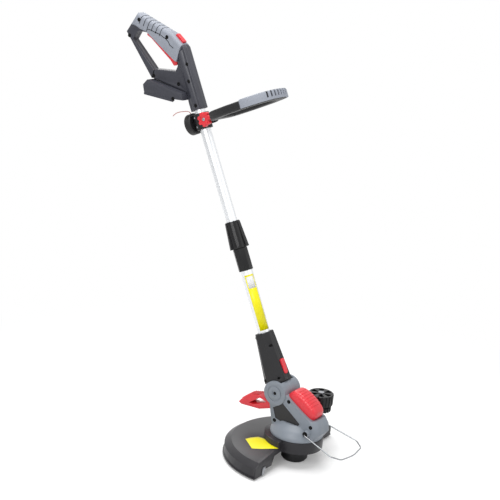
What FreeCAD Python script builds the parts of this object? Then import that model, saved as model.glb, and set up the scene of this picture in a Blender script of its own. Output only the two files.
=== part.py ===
import FreeCAD, Part
import math
import os
import Sketcher

os.makedirs("parts", exist_ok=True)
doc = FreeCAD.newDocument("grass_trimmer")
Vector = FreeCAD.Vector
Rotation = FreeCAD.Rotation
Placement = FreeCAD.Placement

# ---------------------------------------------------------------------------
# Driving sizes in millimetres and degrees. The frame of the whole tool has
# its origin at ground level on the cutting spool's axis, +X forward, +Y to
# the operator's left and +Z up. The shaft frame has its origin beside the
# tilt pivot, its z up along the tubes and its x along their forward normal.
# ---------------------------------------------------------------------------
SIZES = {
    # fits between pieces
    "run_gap": 0.3,
    "pin_gap": 0.05,
    "seat_gap": 0.1,
    # tilt pivot and shaft line
    "pivot_x": -51,
    "pivot_z": 157,
    "shaft_lean": 26,
    "shaft_setback": 4,
    # telescopic tubes
    "upper_tube_r": 12.5,
    "tube_wall": 1.2,
    "lower_tube_foot": 78,
    "lower_tube_top": 352,
    "upper_tube_foot": 256,
    "upper_tube_top": 778,
    # twist collar, its sleeve and collet
    "sleeve_foot": 290,
    "sleeve_shoulder": 343,
    "sleeve_top": 358,
    "sleeve_r": 17.4,
    "spigot_wall": 1.6,
    "collar_foot": 344,
    "collar_top": 408,
    "collar_wall": 3,
    "collar_taper": 2.4,
    "lobe_reach_foot": 4.4,
    "lobe_reach_top": 1.6,
    "lobe_width": 8,
    "lobe_count": 6,
    "collar_lip": 8,
    "collet_wall": 2.2,
    "collet_len": 34,
    "slit_width": 1.6,
    # neck housing
    "neck_foot": 22,
    "neck_top": 140,
    "neck_top_depth": 19.5,
    "neck_foot_depth": 30,
    "neck_top_width": 21.5,
    "neck_foot_width": 26.6,
    "neck_corner": 0.48,
    "mouth_r": 16.6,
    "mouth_depth": 4,
    "button_low": 36,
    "button_high": 72,
    "button_width": 14,
    "button_back": 19,
    "button_face": 30.4,
    "button_travel": 3,
    "button_round": 1.4,
    "neck_screw_low": 31,
    "neck_screw_rear": 16,
    "neck_screw_front": 19,
    "neck_screw_mid": 108,
    "neck_screw_top": 131,
    # screws that hold the mouldings together
    "screw_head_r": 2.9,
    "screw_head_h": 2,
    "screw_shank_r": 1.4,
    "screw_sunk": 1.2,
    "screw_reach": 6,
    # tilt barrel, ears and pivot bolt
    "barrel_r": 25.5,
    "barrel_half": 25,
    "ear_r": 29,
    "ear_in": 27,
    "ear_out": 33,
    "ear_step": 1.2,
    "ear_ring_r": 19,
    "ear_ring_width": 3,
    "bolt_r": 4,
    "bolt_head_r": 7,
    "bolt_head_h": 3.4,
    "web_top_angle": 68,
    "web_rear_angle": 200,
    # motor housing
    "side_half": 31,
    "back_top_x": -64,
    "back_top_z": 134,
    "back_mid_x": -52,
    "back_mid_z": 84,
    "nose_x": 73,
    "nose_z": 90,
    "brow_x": 70,
    "brow_z": 106,
    "nose_round": 16,
    "edge_round": 3,
    "flange_r": 62,
    "flange_low": 66.4,
    "flange_edge": 6,
    "flange_mid_r": 54,
    "flange_mid_z": 86,
    "flange_top_r": 38,
    "flange_top_z": 98,
    "boss_x": 46,
    "boss_z": 89,
    "boss_r": 7.5,
    "boss_out": 42,
    "boss_bore_depth": 20,
    # motor and shaft
    "motor_r": 18.5,
    "motor_low": 86,
    "motor_high": 143,
    "motor_neck_r": 6.5,
    "motor_neck_h": 5,
    "shaft_r": 2.5,
    "shaft_low": 14,
    # red cover on the motor housing, in its own sloped frame
    "cover_x": -22,
    "cover_z": 160,
    "cover_slope": 30.85,
    "cover_len": 84,
    "cover_height": 34,
    "cover_half": 24,
    "cover_wall": 2.6,
    "cover_tail": 11,
    "cover_tail_height": 25,
    "cover_crown_a": 25,
    "cover_crown_b": 50,
    "cover_brow_u": 78,
    "cover_brow_height": 22,
    "cover_tip_u": 88.5,
    "cover_tip_height": 8,
    "cover_round": 9,
    "rib_width": 1.6,
    "rib_depth": 1.3,
    # dark side panels
    "panel_proud": 0.5,
    "panel_depth": 1.6,
    # foot pedal
    "pedal_half": 15,
    "pedal_pin_x": -57,
    "pedal_pin_z": 114,
    "pedal_pin_r": 2,
    "pedal_hub_r": 7,
    "pedal_hub_half": 9,
    "pedal_spring_seat": 4,
    "pedal_spring_r": 4.3,
    "pedal_rib_width": 2.2,
    "pedal_rib_height": 2,
    # guard round the cutting line
    "guard_wall": 2.5,
    "guard_r": 165,
    "guard_low": 4,
    "guard_skirt_top": 28,
    "guard_shoulder_r": 150,
    "guard_shoulder_z": 39,
    "guard_foot_r": 78,
    "guard_foot_z": 50,
    "guard_boss_r": 75,
    "guard_boss_z": 64,
    "guard_top": 66,
    "guard_lip": 2.6,
    "guard_lip_h": 3,
    "front_skirt_r": 63,
    "front_skirt_low": 38,
    "guard_bore_r": 34,
    "web_step_a": 89,
    "web_step_a_z": 36,
    "web_step_b": 99,
    "web_step_b_z": 15.5,
    "web_step_c": 128,
    # line cutter
    "cutter_in": 125.5,
    "cutter_out": 137,
    "cutter_low": 3,
    "cutter_high": 23,
    "cutter_thick": 1.2,
    "cutter_screw_in": 128.6,
    "cutter_screw_out": 134.1,
    "cutter_screw_z": 19,
    # spool
    "cap_r": 30,
    "cap_flat_r": 20,
    "cap_high": 7,
    "drive_r": 31,
    "drive_wall": 2.2,
    "drive_low": 7.1,
    "drive_high": 37,
    "drive_hub_r": 8,
    "spool_r": 26,
    "spool_core_r": 12,
    "spool_low": 8,
    "spool_high": 29,
    "spool_flange": 1.6,
    "line_z": 12.6,
    "line_r": 0.8,
    "line_reach": 121,
    "eyelet_r": 2.6,
    "eyelet_lip": 0.8,
    "wire_r": 0.6,
    # guide wheel for edging
    "wheel_x": 18,
    "wheel_y": 63,
    "wheel_r": 30,
    "wheel_low_r": 27,
    "wheel_groove_r": 22.5,
    "wheel_low": 111,
    "wheel_groove_low": 121,
    "wheel_groove_high": 127,
    "wheel_high": 152,
    "wheel_hub_r": 8,
    "wheel_rim": 5,
    "wheel_web": 6,
    "window_in_half": 1.6,
    "window_out_half": 7.4,
    "wheel_notches": 20,
    "notch_width": 4.2,
    "notch_depth": 1.5,
    "spoke_count": 6,
    "post_r": 5,
    "arm_low": 100,
    "arm_high": 108.5,
    "arm_half": 8,
    "arm_foot_drop": 1.5,
    "arm_foot_rise": 6,
    "arm_foot_thick": 4,
    # wire plant guard, in its own sloped frame at the bosses
    "guard_wire_r": 1.5,
    "wire_slope": 15,
    "wire_reach": 112,
    "wire_corner_y": 45,
    "wire_bulge_y": 59,
    "wire_bulge_x": 84,
    "wire_corner_x": 105,
    "wire_bend": 6,
    "wire_corner_bend": 13,
    # rear handle, in the shaft frame
    "socket_r": 16.4,
    "socket_low": 677,
    "socket_screw_n": 3,
    "socket_screw_low": 687,
    "socket_screw_high": 745,
    "body_half": 17,
    "plate_half": 13.5,
    "column_top": 818,
    "strut_half": 11,
    "foot_half": 34,
    "moulding_round": 3,
    "grip_core_half": 11,
    "grip_round": 8,
    "groove_width": 1.8,
    "groove_depth": 1.6,
    "groove_turn_depth": 4,
    "groove_side_depth": 13,
    "trigger_half": 8,
    "trigger_pin_n": -72,
    "trigger_pin_t": 889,
    "trigger_pin_r": 1.5,
    "switch_n": 2,
    "switch_t": 786,
    "switch_depth": 10,
    "switch_len": 20,
    "rail_in": 20,
    "rail_mid": 24,
    "rail_out": 30,
    "contact_half": 12,
    "lockoff_half": 6,
    # front handle
    "aux_t": 650,
    "aux_bolt_n": 24,
    "aux_bolt_r": 3,
    "clamp_half": 19,
    "clamp_rear": -20,
    "clamp_front": 16,
    "clamp_low": 631,
    "clamp_high": 668,
    "lug_in": 11,
    "lug_out": 17,
    "lug_r": 11,
    "hub_r": 8,
    "loop_thick": 20,
    "grip_skin": 2.2,
    "skin_start": 92,
    "skin_drop": 3,
    "slot_start": 150,
    "slot_pitch": 8,
    "slot_width": 3.6,
    "slot_reach": 14,
    "slot_count": 6,
    "knob_r": 17.5,
    "knob_root_r": 13,
    "knob_lobes": 7,
    "knob_lobe_r": 4.6,
    "knob_thick": 12,
    "knob_shank": 4,
    "clamp_r": 19,
    "clamp_split": 0.4,
    "clamp_screw_y": 15.8,
    "clamp_screw_t": 11,
    "loop_edge": 5,
    # spare spool holder
    "neck_boss_r": 8,
    "drum_r": 25,
    "drum_front": -20,
    "drum_rear": -36,
    "drum_wall": 2.2,
    "spare_r": 21.5,
    "spare_core_r": 9,
    "spare_flange": 1.4,
    "tail_r": 0.8,
}

# Outlines that the side or plan view of a moulding needs, as (x, y) corners:
# the motor head's in the ground frame, the rear handle's in the shaft frame
# and the front handle's about its bolt.
OUTLINES = {
    "housing": [(-64, 134), (-52, 84), (-42, 72), (62, 72), (73, 88), (70, 106),
                (60, 119), (50, 117), (-22, 160), (-40, 168)],
    "panel": [(-53, 122), (-27, 140.5), (24, 104), (12, 83), (-44, 97)],
    "panel_plate": [(-52.4, 121.8), (-27, 139.8), (23.2, 103.8), (11.8, 83.8), (-43.6, 97.6)],
    "pedal_room": [(-86, 124), (-70, 132), (-50, 124), (-47, 114), (-50, 104), (-64, 101), (-90, 97)],
    "pedal": [(-158, 98), (-150, 108), (-131, 124), (-104, 131), (-86, 127), (-68, 118),
              (-68, 109), (-99, 97.5), (-150, 94)],
    "pedal_slot": [(-129, 104), (-116, 104), (-84, 118), (-84, 121.5), (-101, 125)],
    "handle_body": [(16, 677), (16, 822), (12.5, 829.5), (6, 822.5), (-14.5, 797.5), (-15, 790),
                    (-27, 778.5), (-84, 801), (-97, 783), (-12.5, 722), (-16.2, 700), (-16.2, 677)],
    "strut": [(-102, 784), (-133, 900), (-134, 908), (-115, 919.6), (-103, 912), (-92, 899.5),
              (-106, 897), (-121, 886), (-87, 801)],
    "battery_foot": [(-97, 781), (-113, 774), (-116, 758), (-40, 717), (-14, 706), (-12.5, 722)],
    "grip": [(-85, 938), (-4, 860.5), (12.5, 829.5), (6, 822.5), (-14.5, 797.5), (-20, 803),
             (-70, 882), (-92, 899.5), (-103, 912), (-115, 919.6)],
    "grip_core": [(-108, 911), (-86, 931), (-9, 856), (6, 831), (-4, 806), (-12, 803),
                  (-60, 879), (-96, 897)],
    "trigger": [(-80, 882), (-75, 876), (-33, 801), (-30, 792), (-20, 791.5), (-18, 802), (-10, 812),
                (-62, 893), (-74, 895)],
    "trigger_room": [(-84, 878), (-81, 897), (-58, 903), (7, 815), (-2, 783), (-36, 783)],
    "battery_contacts": [(-92, 745), (-58, 726.7), (-60.6, 721.9), (-94.6, 740.2)],
    "battery_rail": [(-110, 754.8), (-45, 719.7), (-47.4, 715.3), (-112.4, 750.4)],
    "battery_lip": [(-111.9, 751.3), (-46.9, 716.2), (-48.3, 713.6), (-113.3, 748.7)],
    "lockoff": [(2.9, 859.1), (15, 836.1), (3.85, 830.2), (-8.25, 853.2)],
    "lockoff_room": [(1.6, 859.2), (14.4, 835.1), (0.6, 827.9), (-12.1, 852)],
    "loop_outer": [(26, 14), (30, 44), (42, 53), (86, 62), (146, 60.5), (180, 50), (196, 34), (202, 14)],
    "loop_inner": [(46, 28), (86, 40), (142, 38.5), (164, 29), (176, 12)],
}
for outline, corners in OUTLINES.items():
    for index, (first, second) in enumerate(corners):
        SIZES["%s_%dx" % (outline, index)] = first
        SIZES["%s_%dy" % (outline, index)] = second


class Size:
    """A length with its present value and the expression over the sheet that gives it."""

    def __init__(self, value, text):
        self.value = float(value)
        self.text = text

    def __add__(self, other):
        return Size(self.value + number(other), "(" + self.text + " + " + text_of(other) + ")")

    def __radd__(self, other):
        return Size(number(other) + self.value, "(" + text_of(other) + " + " + self.text + ")")

    def __sub__(self, other):
        return Size(self.value - number(other), "(" + self.text + " - " + text_of(other) + ")")

    def __rsub__(self, other):
        return Size(number(other) - self.value, "(" + text_of(other) + " - " + self.text + ")")

    def __mul__(self, other):
        return Size(self.value * number(other), "(" + self.text + " * " + text_of(other) + ")")

    def __rmul__(self, other):
        return Size(number(other) * self.value, "(" + text_of(other) + " * " + self.text + ")")

    def __truediv__(self, other):
        return Size(self.value / number(other), "(" + self.text + " / " + text_of(other) + ")")

    def __neg__(self):
        return Size(-self.value, "(0 - " + self.text + ")")

    def cos(self):
        return Size(math.cos(math.radians(self.value)), "cos(" + self.text + " * 1 deg)")

    def sin(self):
        return Size(math.sin(math.radians(self.value)), "sin(" + self.text + " * 1 deg)")


def number(size):
    """The plain value of a Size or of a number."""
    return size.value if isinstance(size, Size) else float(size)


def text_of(size):
    """The expression text of a Size or of a number."""
    return size.text if isinstance(size, Size) else "(" + repr(float(size)) + ")"


class Sheet:
    """The spreadsheet of driving sizes; each attribute is one Size."""

    def __init__(self, sizes):
        cells = doc.addObject("Spreadsheet::Sheet", "sizes")
        for row, (alias, value) in enumerate(sizes.items(), start=1):
            cells.set("A%d" % row, alias)
            cells.set("B%d" % row, str(value))
            cells.setAlias("B%d" % row, alias)
        doc.recompute()

    def __getattr__(self, alias):
        return Size(SIZES[alias], "sizes." + alias)


d = Sheet(SIZES)
bodies = []
PLANES = {"x": "YZ_Plane", "y": "XZ_Plane", "z": "XY_Plane"}


def bind(thing, path, size):
    """Bind one property to the sheet, or set it where the size is a plain number."""
    if isinstance(size, Size):
        thing.setExpression(path, size.text)
    else:
        thing.setExpression(path, repr(float(size)))


def shaft_point(n, t):
    """World x and z of the point n ahead of the tube axis and t up along it."""
    ahead = n - d.shaft_setback
    lean_cos = d.shaft_lean.cos()
    lean_sin = d.shaft_lean.sin()
    return d.pivot_x + ahead * lean_cos - t * lean_sin, d.pivot_z + ahead * lean_sin + t * lean_cos


def new_body(label, frame="ground", n=0, y=0, t=0):
    """An empty body in the ground frame or in the leaning shaft frame, at n, y, t."""
    body = doc.addObject("PartDesign::Body", label)
    body.Label = label
    if frame == "shaft":
        x, z = shaft_point(n, t)
        body.Placement = Placement(Vector(number(x), number(y), number(z)),
                                   Rotation(Vector(0, -1, 0), number(d.shaft_lean)))
        bind(body, "Placement.Rotation.Angle", d.shaft_lean * Size(1, "1 deg"))
    elif frame == "cover":
        x, z = d.cover_x, d.cover_z
        body.Placement = Placement(Vector(number(x), 0, number(z)),
                                   Rotation(Vector(0, 1, 0), number(d.cover_slope)))
        bind(body, "Placement.Rotation.Angle", d.cover_slope * Size(1, "1 deg"))
    else:
        x, z = n, t
        body.Placement = Placement(Vector(number(x), number(y), number(z)), Rotation())
    bind(body, "Placement.Base.x", x)
    bind(body, "Placement.Base.y", y)
    bind(body, "Placement.Base.z", z)
    bodies.append(body)
    return body


def origin_item(body, role):
    """The body's own origin plane or axis with this role."""
    return [item for item in body.Origin.OriginFeatures if item.Role == role][0]


def poly(*points):
    return ("poly", points)


def rect(x_low, y_low, x_high, y_high):
    return poly((x_low, y_low), (x_high, y_low), (x_high, y_high), (x_low, y_high))


def disc(x, y, r):
    return ("disc", x, y, r)


def slot(x_low, x_high, y, r):
    """An oblong along the sketch's first axis, from end to end."""
    return ("slot", x_low, x_high, y, r)


def draw(sketch, shape):
    """Add one closed outline to a sketch, with every size bound to the sheet."""
    kind = shape[0]
    first = sketch.GeometryCount
    if kind == "disc":
        x, y, r = shape[1:]
        sketch.addGeometry(Part.Circle(Vector(number(x), number(y), 0), Vector(0, 0, 1), number(r)))
        fixed = [("DistanceX", first, 3, x), ("DistanceY", first, 3, y), ("Radius", first, None, r)]
    elif kind == "slot":
        low, high, y, r = shape[1:]
        left, right, half, mid = number(low) + number(r), number(high) - number(r), number(r), number(y)
        axis = Vector(0, 0, 1)
        ends = (Part.Circle(Vector(left, mid, 0), axis, half), Part.Circle(Vector(right, mid, 0), axis, half))
        sketch.addGeometry(Part.ArcOfCircle(ends[0], math.pi / 2, 3 * math.pi / 2))
        sketch.addGeometry(Part.LineSegment(Vector(left, mid - half, 0), Vector(right, mid - half, 0)))
        sketch.addGeometry(Part.ArcOfCircle(ends[1], -math.pi / 2, math.pi / 2))
        sketch.addGeometry(Part.LineSegment(Vector(right, mid + half, 0), Vector(left, mid + half, 0)))
        join = (("Tangent", 0, 2, 1, 1), ("Tangent", 1, 2, 2, 1), ("Tangent", 2, 2, 3, 1), ("Tangent", 3, 2, 0, 1))
        for name, a, a_end, b, b_end in join:
            sketch.addConstraint(Sketcher.Constraint(name, first + a, a_end, first + b, b_end))
        sketch.addConstraint(Sketcher.Constraint("Equal", first, first + 2))
        fixed = [("DistanceX", first, 3, low + r), ("DistanceY", first, 3, y), ("Radius", first, None, r),
                 ("DistanceX", first + 2, 3, high - r), ("DistanceY", first + 2, 3, y)]
    else:
        points = shape[1]
        count = len(points)
        ends = [Vector(number(x), number(y), 0) for x, y in points]
        for index in range(count):
            sketch.addGeometry(Part.LineSegment(ends[index], ends[(index + 1) % count]))
        for index in range(count):
            following = first + (index + 1) % count
            sketch.addConstraint(Sketcher.Constraint("Coincident", first + index, 2, following, 1))
        fixed = []
        for index, (x, y) in enumerate(points):
            fixed += [("DistanceX", first + index, 1, x), ("DistanceY", first + index, 1, y)]
    for name, item, point, size in fixed:
        place = (item,) if point is None else (item, point)
        row = sketch.addConstraint(Sketcher.Constraint(name, *place, number(size)))
        bind(sketch, "Constraints[%d]" % row, size)


def new_sketch(body, name, axis, offset, shapes):
    """A sketch square to one of the body's axes, at an offset along its normal."""
    sketch = body.newObject("Sketcher::SketchObject", name)
    sketch.AttachmentSupport = [(origin_item(body, PLANES[axis]), "")]
    sketch.MapMode = "FlatFace"
    bind(sketch, "AttachmentOffset.Base.z", offset)
    for shape in shapes:
        draw(sketch, shape)
    return sketch


def checked(body, feature, cut, before):
    """Recompute, and stop where a feature failed or changed nothing."""
    doc.recompute()
    name = body.Label + "." + feature.Name
    if "Invalid" in feature.State or feature.Shape.isNull() or not feature.Shape.isValid():
        raise RuntimeError("feature failed: " + name)
    change = feature.Shape.Volume - before
    if (change >= 0) if cut else (change <= 0):
        raise RuntimeError("feature changes nothing: " + name)
    return feature


def volume_of(body):
    shape = body.Shape
    return 0.0 if shape.isNull() else shape.Volume


def extrude(body, name, axis, shapes, low, high, cut=False):
    """Pad or pocket the outlines between two places along one of the body's axes."""
    before = volume_of(body)
    if axis == "y":
        offset = -low if cut else -high
    else:
        offset = high if cut else low
    sketch = new_sketch(body, body.Label + "_" + name + "_outline", axis, offset, shapes)
    kind = "PartDesign::Pocket" if cut else "PartDesign::Pad"
    feature = body.newObject(kind, body.Label + "_" + name)
    feature.Profile = sketch
    feature.Type = 0
    bind(feature, "Length", high - low)
    return checked(body, feature, cut, before)


def cut_out(body, name, axis, shapes, low, high):
    return extrude(body, name, axis, shapes, low, high, cut=True)


def revolve(body, name, shape, axis="z", angle=360, cut=False):
    """Turn an outline about one of the body's axes, to both sides alike."""
    before = volume_of(body)
    plane, line = {"z": ("y", "V_Axis"), "x": ("y", "H_Axis"), "y": ("z", "V_Axis")}[axis]
    sketch = new_sketch(body, body.Label + "_" + name + "_outline", plane, 0, [shape])
    kind = "PartDesign::Groove" if cut else "PartDesign::Revolution"
    feature = body.newObject(kind, body.Label + "_" + name)
    feature.Profile = sketch
    feature.ReferenceAxis = (sketch, [line])
    feature.Midplane = True
    bind(feature, "Angle", angle)
    return checked(body, feature, cut, before)


def loft(body, name, sections, axis="z", cut=False):
    """Join outlines at different places along an axis."""
    before = volume_of(body)
    sketches = [new_sketch(body, "%s_%s_%d" % (body.Label, name, index), axis, place, [shape])
                for index, (place, shape) in enumerate(sections)]
    kind = "PartDesign::SubtractiveLoft" if cut else "PartDesign::AdditiveLoft"
    feature = body.newObject(kind, body.Label + "_" + name)
    feature.Profile = sketches[0]
    feature.Sections = sketches[1:]
    feature.Ruled = True
    return checked(body, feature, cut, before)


def repeat_round(body, feature, axis, count):
    """Repeat a feature evenly round one of the body's axes."""
    pattern = body.newObject("PartDesign::PolarPattern", feature.Name + "_round")
    pattern.Originals = [feature]
    pattern.Axis = (origin_item(body, axis.upper() + "_Axis"), [""])
    pattern.Angle = 360
    bind(pattern, "Occurrences", count)
    body.Tip = pattern
    doc.recompute()
    return pattern


def repeat_along(body, feature, axis, pitch, count):
    """Repeat a feature at an even pitch along one of the body's axes."""
    pattern = body.newObject("PartDesign::LinearPattern", feature.Name + "_row")
    pattern.Originals = [feature]
    pattern.Direction = (origin_item(body, axis.upper() + "_Axis"), [""])
    bind(pattern, "Length", pitch * (count - 1))
    pattern.Occurrences = count
    body.Tip = pattern
    doc.recompute()
    return pattern


def dress(body, name, kind, size, wanted):
    """Round or bevel the tip's edges that the test wants."""
    tip = body.Tip
    names = ["Edge%d" % (index + 1) for index, edge in enumerate(tip.Shape.Edges) if wanted(edge)]
    if not names:
        raise RuntimeError("no edge to dress on " + body.Label + "." + name)
    feature = body.newObject("PartDesign::" + kind, body.Label + "_" + name)
    feature.Base = (tip, names)
    bind(feature, "Radius" if kind == "Fillet" else "Size", size)
    doc.recompute()
    if "Invalid" in feature.State or not feature.Shape.isValid():
        raise RuntimeError("dressing failed: " + body.Label + "." + name)
    return feature


def edge_ends(edge):
    return [vertex.Point for vertex in edge.Vertexes]


def along(axis, edge):
    """True for a straight edge parallel to the axis."""
    ends = edge_ends(edge)
    if len(ends) != 2 or edge.Curve.TypeId != "Part::GeomLine":
        return False
    step = ends[1] - ends[0]
    return abs(abs(getattr(step, axis)) - step.Length) < TINY


def at(axis, place, edge):
    """True where the whole edge lies at this place along the axis."""
    box = edge.BoundBox
    low, high = getattr(box, axis.upper() + "Min"), getattr(box, axis.upper() + "Max")
    return abs(low - number(place)) < TINY and abs(high - number(place)) < TINY


TINY = 1e-3

SIDES = (("right", -1), ("left", 1))
COIL_RUNS = 10
COIL_SIDES = 6


def span(side, near, far):
    """The stretch of y from near to far on one side of the middle plane."""
    return (near, far) if side > 0 else (-far, -near)


def profile(name):
    """One of the named outlines, as sheet sizes."""
    count = len(OUTLINES[name])
    row = [(getattr(d, "%s_%dx" % (name, i)), getattr(d, "%s_%dy" % (name, i))) for i in range(count)]
    return poly(*row)


def mirrored(points):
    """A half outline with y above zero, closed by its mirror image."""
    return poly(*points, *[(x, -y) for x, y in reversed(points)])


def outset(points, by):
    """An outline's corners moved to its left by a distance, as mitred corners; its last edge runs across."""
    spots = [(number(x), number(y)) for x, y in points]
    spots.append((spots[-1][0], spots[-1][1] - 1))
    moved = []
    for index, (x, y) in enumerate(points):
        normals = []
        for first in (max(index - 1, 0), index):
            run_x = spots[first + 1][0] - spots[first][0]
            run_y = spots[first + 1][1] - spots[first][1]
            length = math.hypot(run_x, run_y)
            normals.append((-run_y / length, run_x / length))
        (ax, ay), (bx, by_) = normals
        spread = 1 + ax * bx + ay * by_
        moved.append((x + by * ((ax + bx) / spread), y + by * ((ay + by_) / spread)))
    return moved


def height_on(points, x):
    """The y of an outline at a place along x."""
    for (x_low, y_low), (x_high, y_high) in zip(points, points[1:]):
        if number(x_low) <= number(x) <= number(x_high):
            return y_low + (y_high - y_low) * ((x - x_low) / (x_high - x_low))
    raise RuntimeError("no stretch of the outline at this place")


def on_line(first, last, share):
    """A place part of the way along a line between two corners, and the line's direction."""
    (x_first, y_first), (x_last, y_last) = first, last
    run = math.hypot(number(x_last) - number(x_first), number(y_last) - number(y_first))
    way = ((number(x_last) - number(x_first)) / run, (number(y_last) - number(y_first)) / run)
    return (x_first + (x_last - x_first) * share, y_first + (y_last - y_first) * share), way


def strip_across(first, last, share, half, above, below):
    """A box across a line, part of the way along it: half its width, and its reach above and below."""
    (x, y), (along_x, along_y) = on_line(first, last, share)
    corners = ((-half, -below), (half, -below), (half, above), (-half, above))
    return poly(*[(x + u * along_x - v * along_y, y + u * along_y + v * along_x) for u, v in corners])


def half_profile(name):
    return mirrored(profile(name)[1])


def ngon(count, r):
    """A regular outline with flats, its corners at radius r."""
    step = 2 * math.pi / count
    return poly(*[(r * math.cos(step * (i + 0.5)), r * math.sin(step * (i + 0.5))) for i in range(count)])


def oblong(x_low, y_low, x_high, y_high, corner):
    """A rectangle with cut corners."""
    return poly((x_low + corner, y_low), (x_high - corner, y_low), (x_high, y_low + corner),
                (x_high, y_high - corner), (x_high - corner, y_high), (x_low + corner, y_high),
                (x_low, y_high - corner), (x_low, y_low + corner))


def screw_room(body, side, places, outside):
    """Counterbores and shank holes for screws driven in from the right."""
    for index, (x, z, face) in enumerate(places):
        head = disc(x, z, d.screw_head_r + d.seat_gap)
        shank = disc(x, z, d.screw_shank_r + d.seat_gap)
        if side < 0:
            cut_out(body, "head_room%d" % index, "y", [head], -outside, d.screw_head_h - face)
            cut_out(body, "shank_room%d" % index, "y", [shank], -face, 0)
        else:
            cut_out(body, "shank_room%d" % index, "y", [shank], 0, d.screw_reach + d.seat_gap)


def screws(label, frame, places):
    """Screws driven in from the right, as one group."""
    body = new_body(label, frame)
    for index, (x, z, face) in enumerate(places):
        shank_start = d.screw_head_h - face
        extrude(body, "head%d" % index, "y", [disc(x, z, d.screw_head_r)], -face, shank_start)
        extrude(body, "shank%d" % index, "y", [disc(x, z, d.screw_shank_r)], shank_start, d.screw_reach)


def pipe_run(points, bends, radius):
    """A rod along straight runs joined by tangent arcs; returns its shape and length."""
    edges = []
    start = points[0]
    for corner, after, bend in zip(points[1:-1], points[2:], bends):
        back = (start - corner).normalize()
        ahead = (after - corner).normalize()
        half = back.getAngle(ahead) / 2
        reach = bend / math.tan(half)
        middle = (back + ahead).normalize()
        centre = corner + middle * (bend / math.sin(half))
        arc_start, arc_end = corner + back * reach, corner + ahead * reach
        arc_mid = centre - middle * bend
        edges.append(Part.LineSegment(start, arc_start).toShape())
        edges.append(Part.Arc(arc_start, arc_mid, arc_end).toShape())
        start = arc_end
    edges.append(Part.LineSegment(start, points[-1]).toShape())
    path = Part.Wire(edges)
    first_step = (points[1] - points[0]).normalize()
    section = Part.Wire([Part.makeCircle(radius, points[0], first_step)])
    rod = path.makePipeShell([section], True, False)
    return rod, path.Length


def add_shape(label, shape, placement):
    """A sub-part whose shape is made directly, such as bent wire."""
    thing = doc.addObject("Part::Feature", label)
    thing.Label = label
    thing.Shape = shape
    thing.Placement = placement
    bodies.append(thing)
    return thing


def mitred_rod(points, r, sides):
    """A rod of straight runs with flat sides, mitred where the runs meet."""
    way = (points[1] - points[0]).normalize()
    across = way.cross(Vector(0, 0, 1)).normalize()
    upright = way.cross(across)
    step = 2 * math.pi / sides
    ring = [points[0] + across * (r * math.cos(step * i)) + upright * (r * math.sin(step * i)) for i in range(sides)]
    rings = [ring]
    for index in range(1, len(points)):
        way = (points[index] - points[index - 1]).normalize()
        onward = (points[index + 1] - points[index]).normalize() if index + 1 < len(points) else way
        mitre = way + onward
        ring = [corner + way * ((points[index] - corner).dot(mitre) / way.dot(mitre)) for corner in ring]
        rings.append(ring)
    outlines = [rings[0] + rings[0][:1], rings[-1] + rings[-1][:1]]
    for near, far in zip(rings, rings[1:]):
        for i in range(sides):
            j = (i + 1) % sides
            outlines.append([near[i], near[j], far[j], far[i], near[i]])
    return Part.Solid(Part.Shell([Part.Face(Part.makePolygon(outline)) for outline in outlines]))


def coil(label, frame_placement, r, length, turns):
    """A coil spring along z, from zero to its length, drawn in short straight runs."""
    wire = number(d.wire_r)
    steps = int(turns * COIL_RUNS)
    points = []
    for step in range(steps + 1):
        angle = 2 * math.pi * step / COIL_RUNS
        points.append(Vector(r * math.cos(angle), r * math.sin(angle), wire + (length - 2 * wire) * step / steps))
    return add_shape(label, mitred_rod(points, wire, COIL_SIDES), frame_placement)


def shaft_placement(n, y, t, spin=None):
    x, z = shaft_point(n, t)
    turn = Rotation(Vector(0, -1, 0), number(d.shaft_lean))
    if spin is not None:
        turn = turn.multiply(spin)
    return Placement(Vector(number(x), number(y), number(z)), turn)


# ---------------------------------------------------------------------------
# Telescopic tubes, twist collar, sleeve and collet
# ---------------------------------------------------------------------------
lower_inner = d.upper_tube_r + d.run_gap
lower_r = lower_inner + d.tube_wall
spigot_r = lower_r + d.spigot_wall
collar_inner = spigot_r + d.run_gap
collar_foot_r = collar_inner + d.collar_wall
collar_top_r = collar_foot_r - d.collar_taper
collet_r = lower_inner + d.collet_wall
collet_top = d.sleeve_top + d.collet_len


def make_tube(label, r, inner, foot, top):
    body = new_body(label, "shaft")
    extrude(body, "wall", "z", [disc(0, 0, r), disc(0, 0, inner)], foot, top)


def make_sleeve():
    body = new_body("lock_sleeve", "shaft")
    extrude(body, "flats", "z", [ngon(8, d.sleeve_r)], d.sleeve_foot, d.sleeve_shoulder)
    extrude(body, "spigot", "z", [disc(0, 0, spigot_r)], d.sleeve_shoulder, d.sleeve_top)
    cut_out(body, "tube_seat", "z", [disc(0, 0, lower_r + d.seat_gap)], d.sleeve_foot, d.lower_tube_top)
    cut_out(body, "throat", "z", [disc(0, 0, lower_inner)], d.lower_tube_top, d.sleeve_top)


def make_collet():
    body = new_body("lock_collet", "shaft")
    extrude(body, "ring", "z", [disc(0, 0, collet_r), disc(0, 0, lower_inner)], d.sleeve_top, collet_top)
    half = d.slit_width / 2
    slit = cut_out(body, "slit", "z", [rect(0, -half, d.sleeve_r, half)],
                   d.sleeve_top + d.collar_lip, collet_top)
    repeat_round(body, slit, "z", 4)


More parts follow.
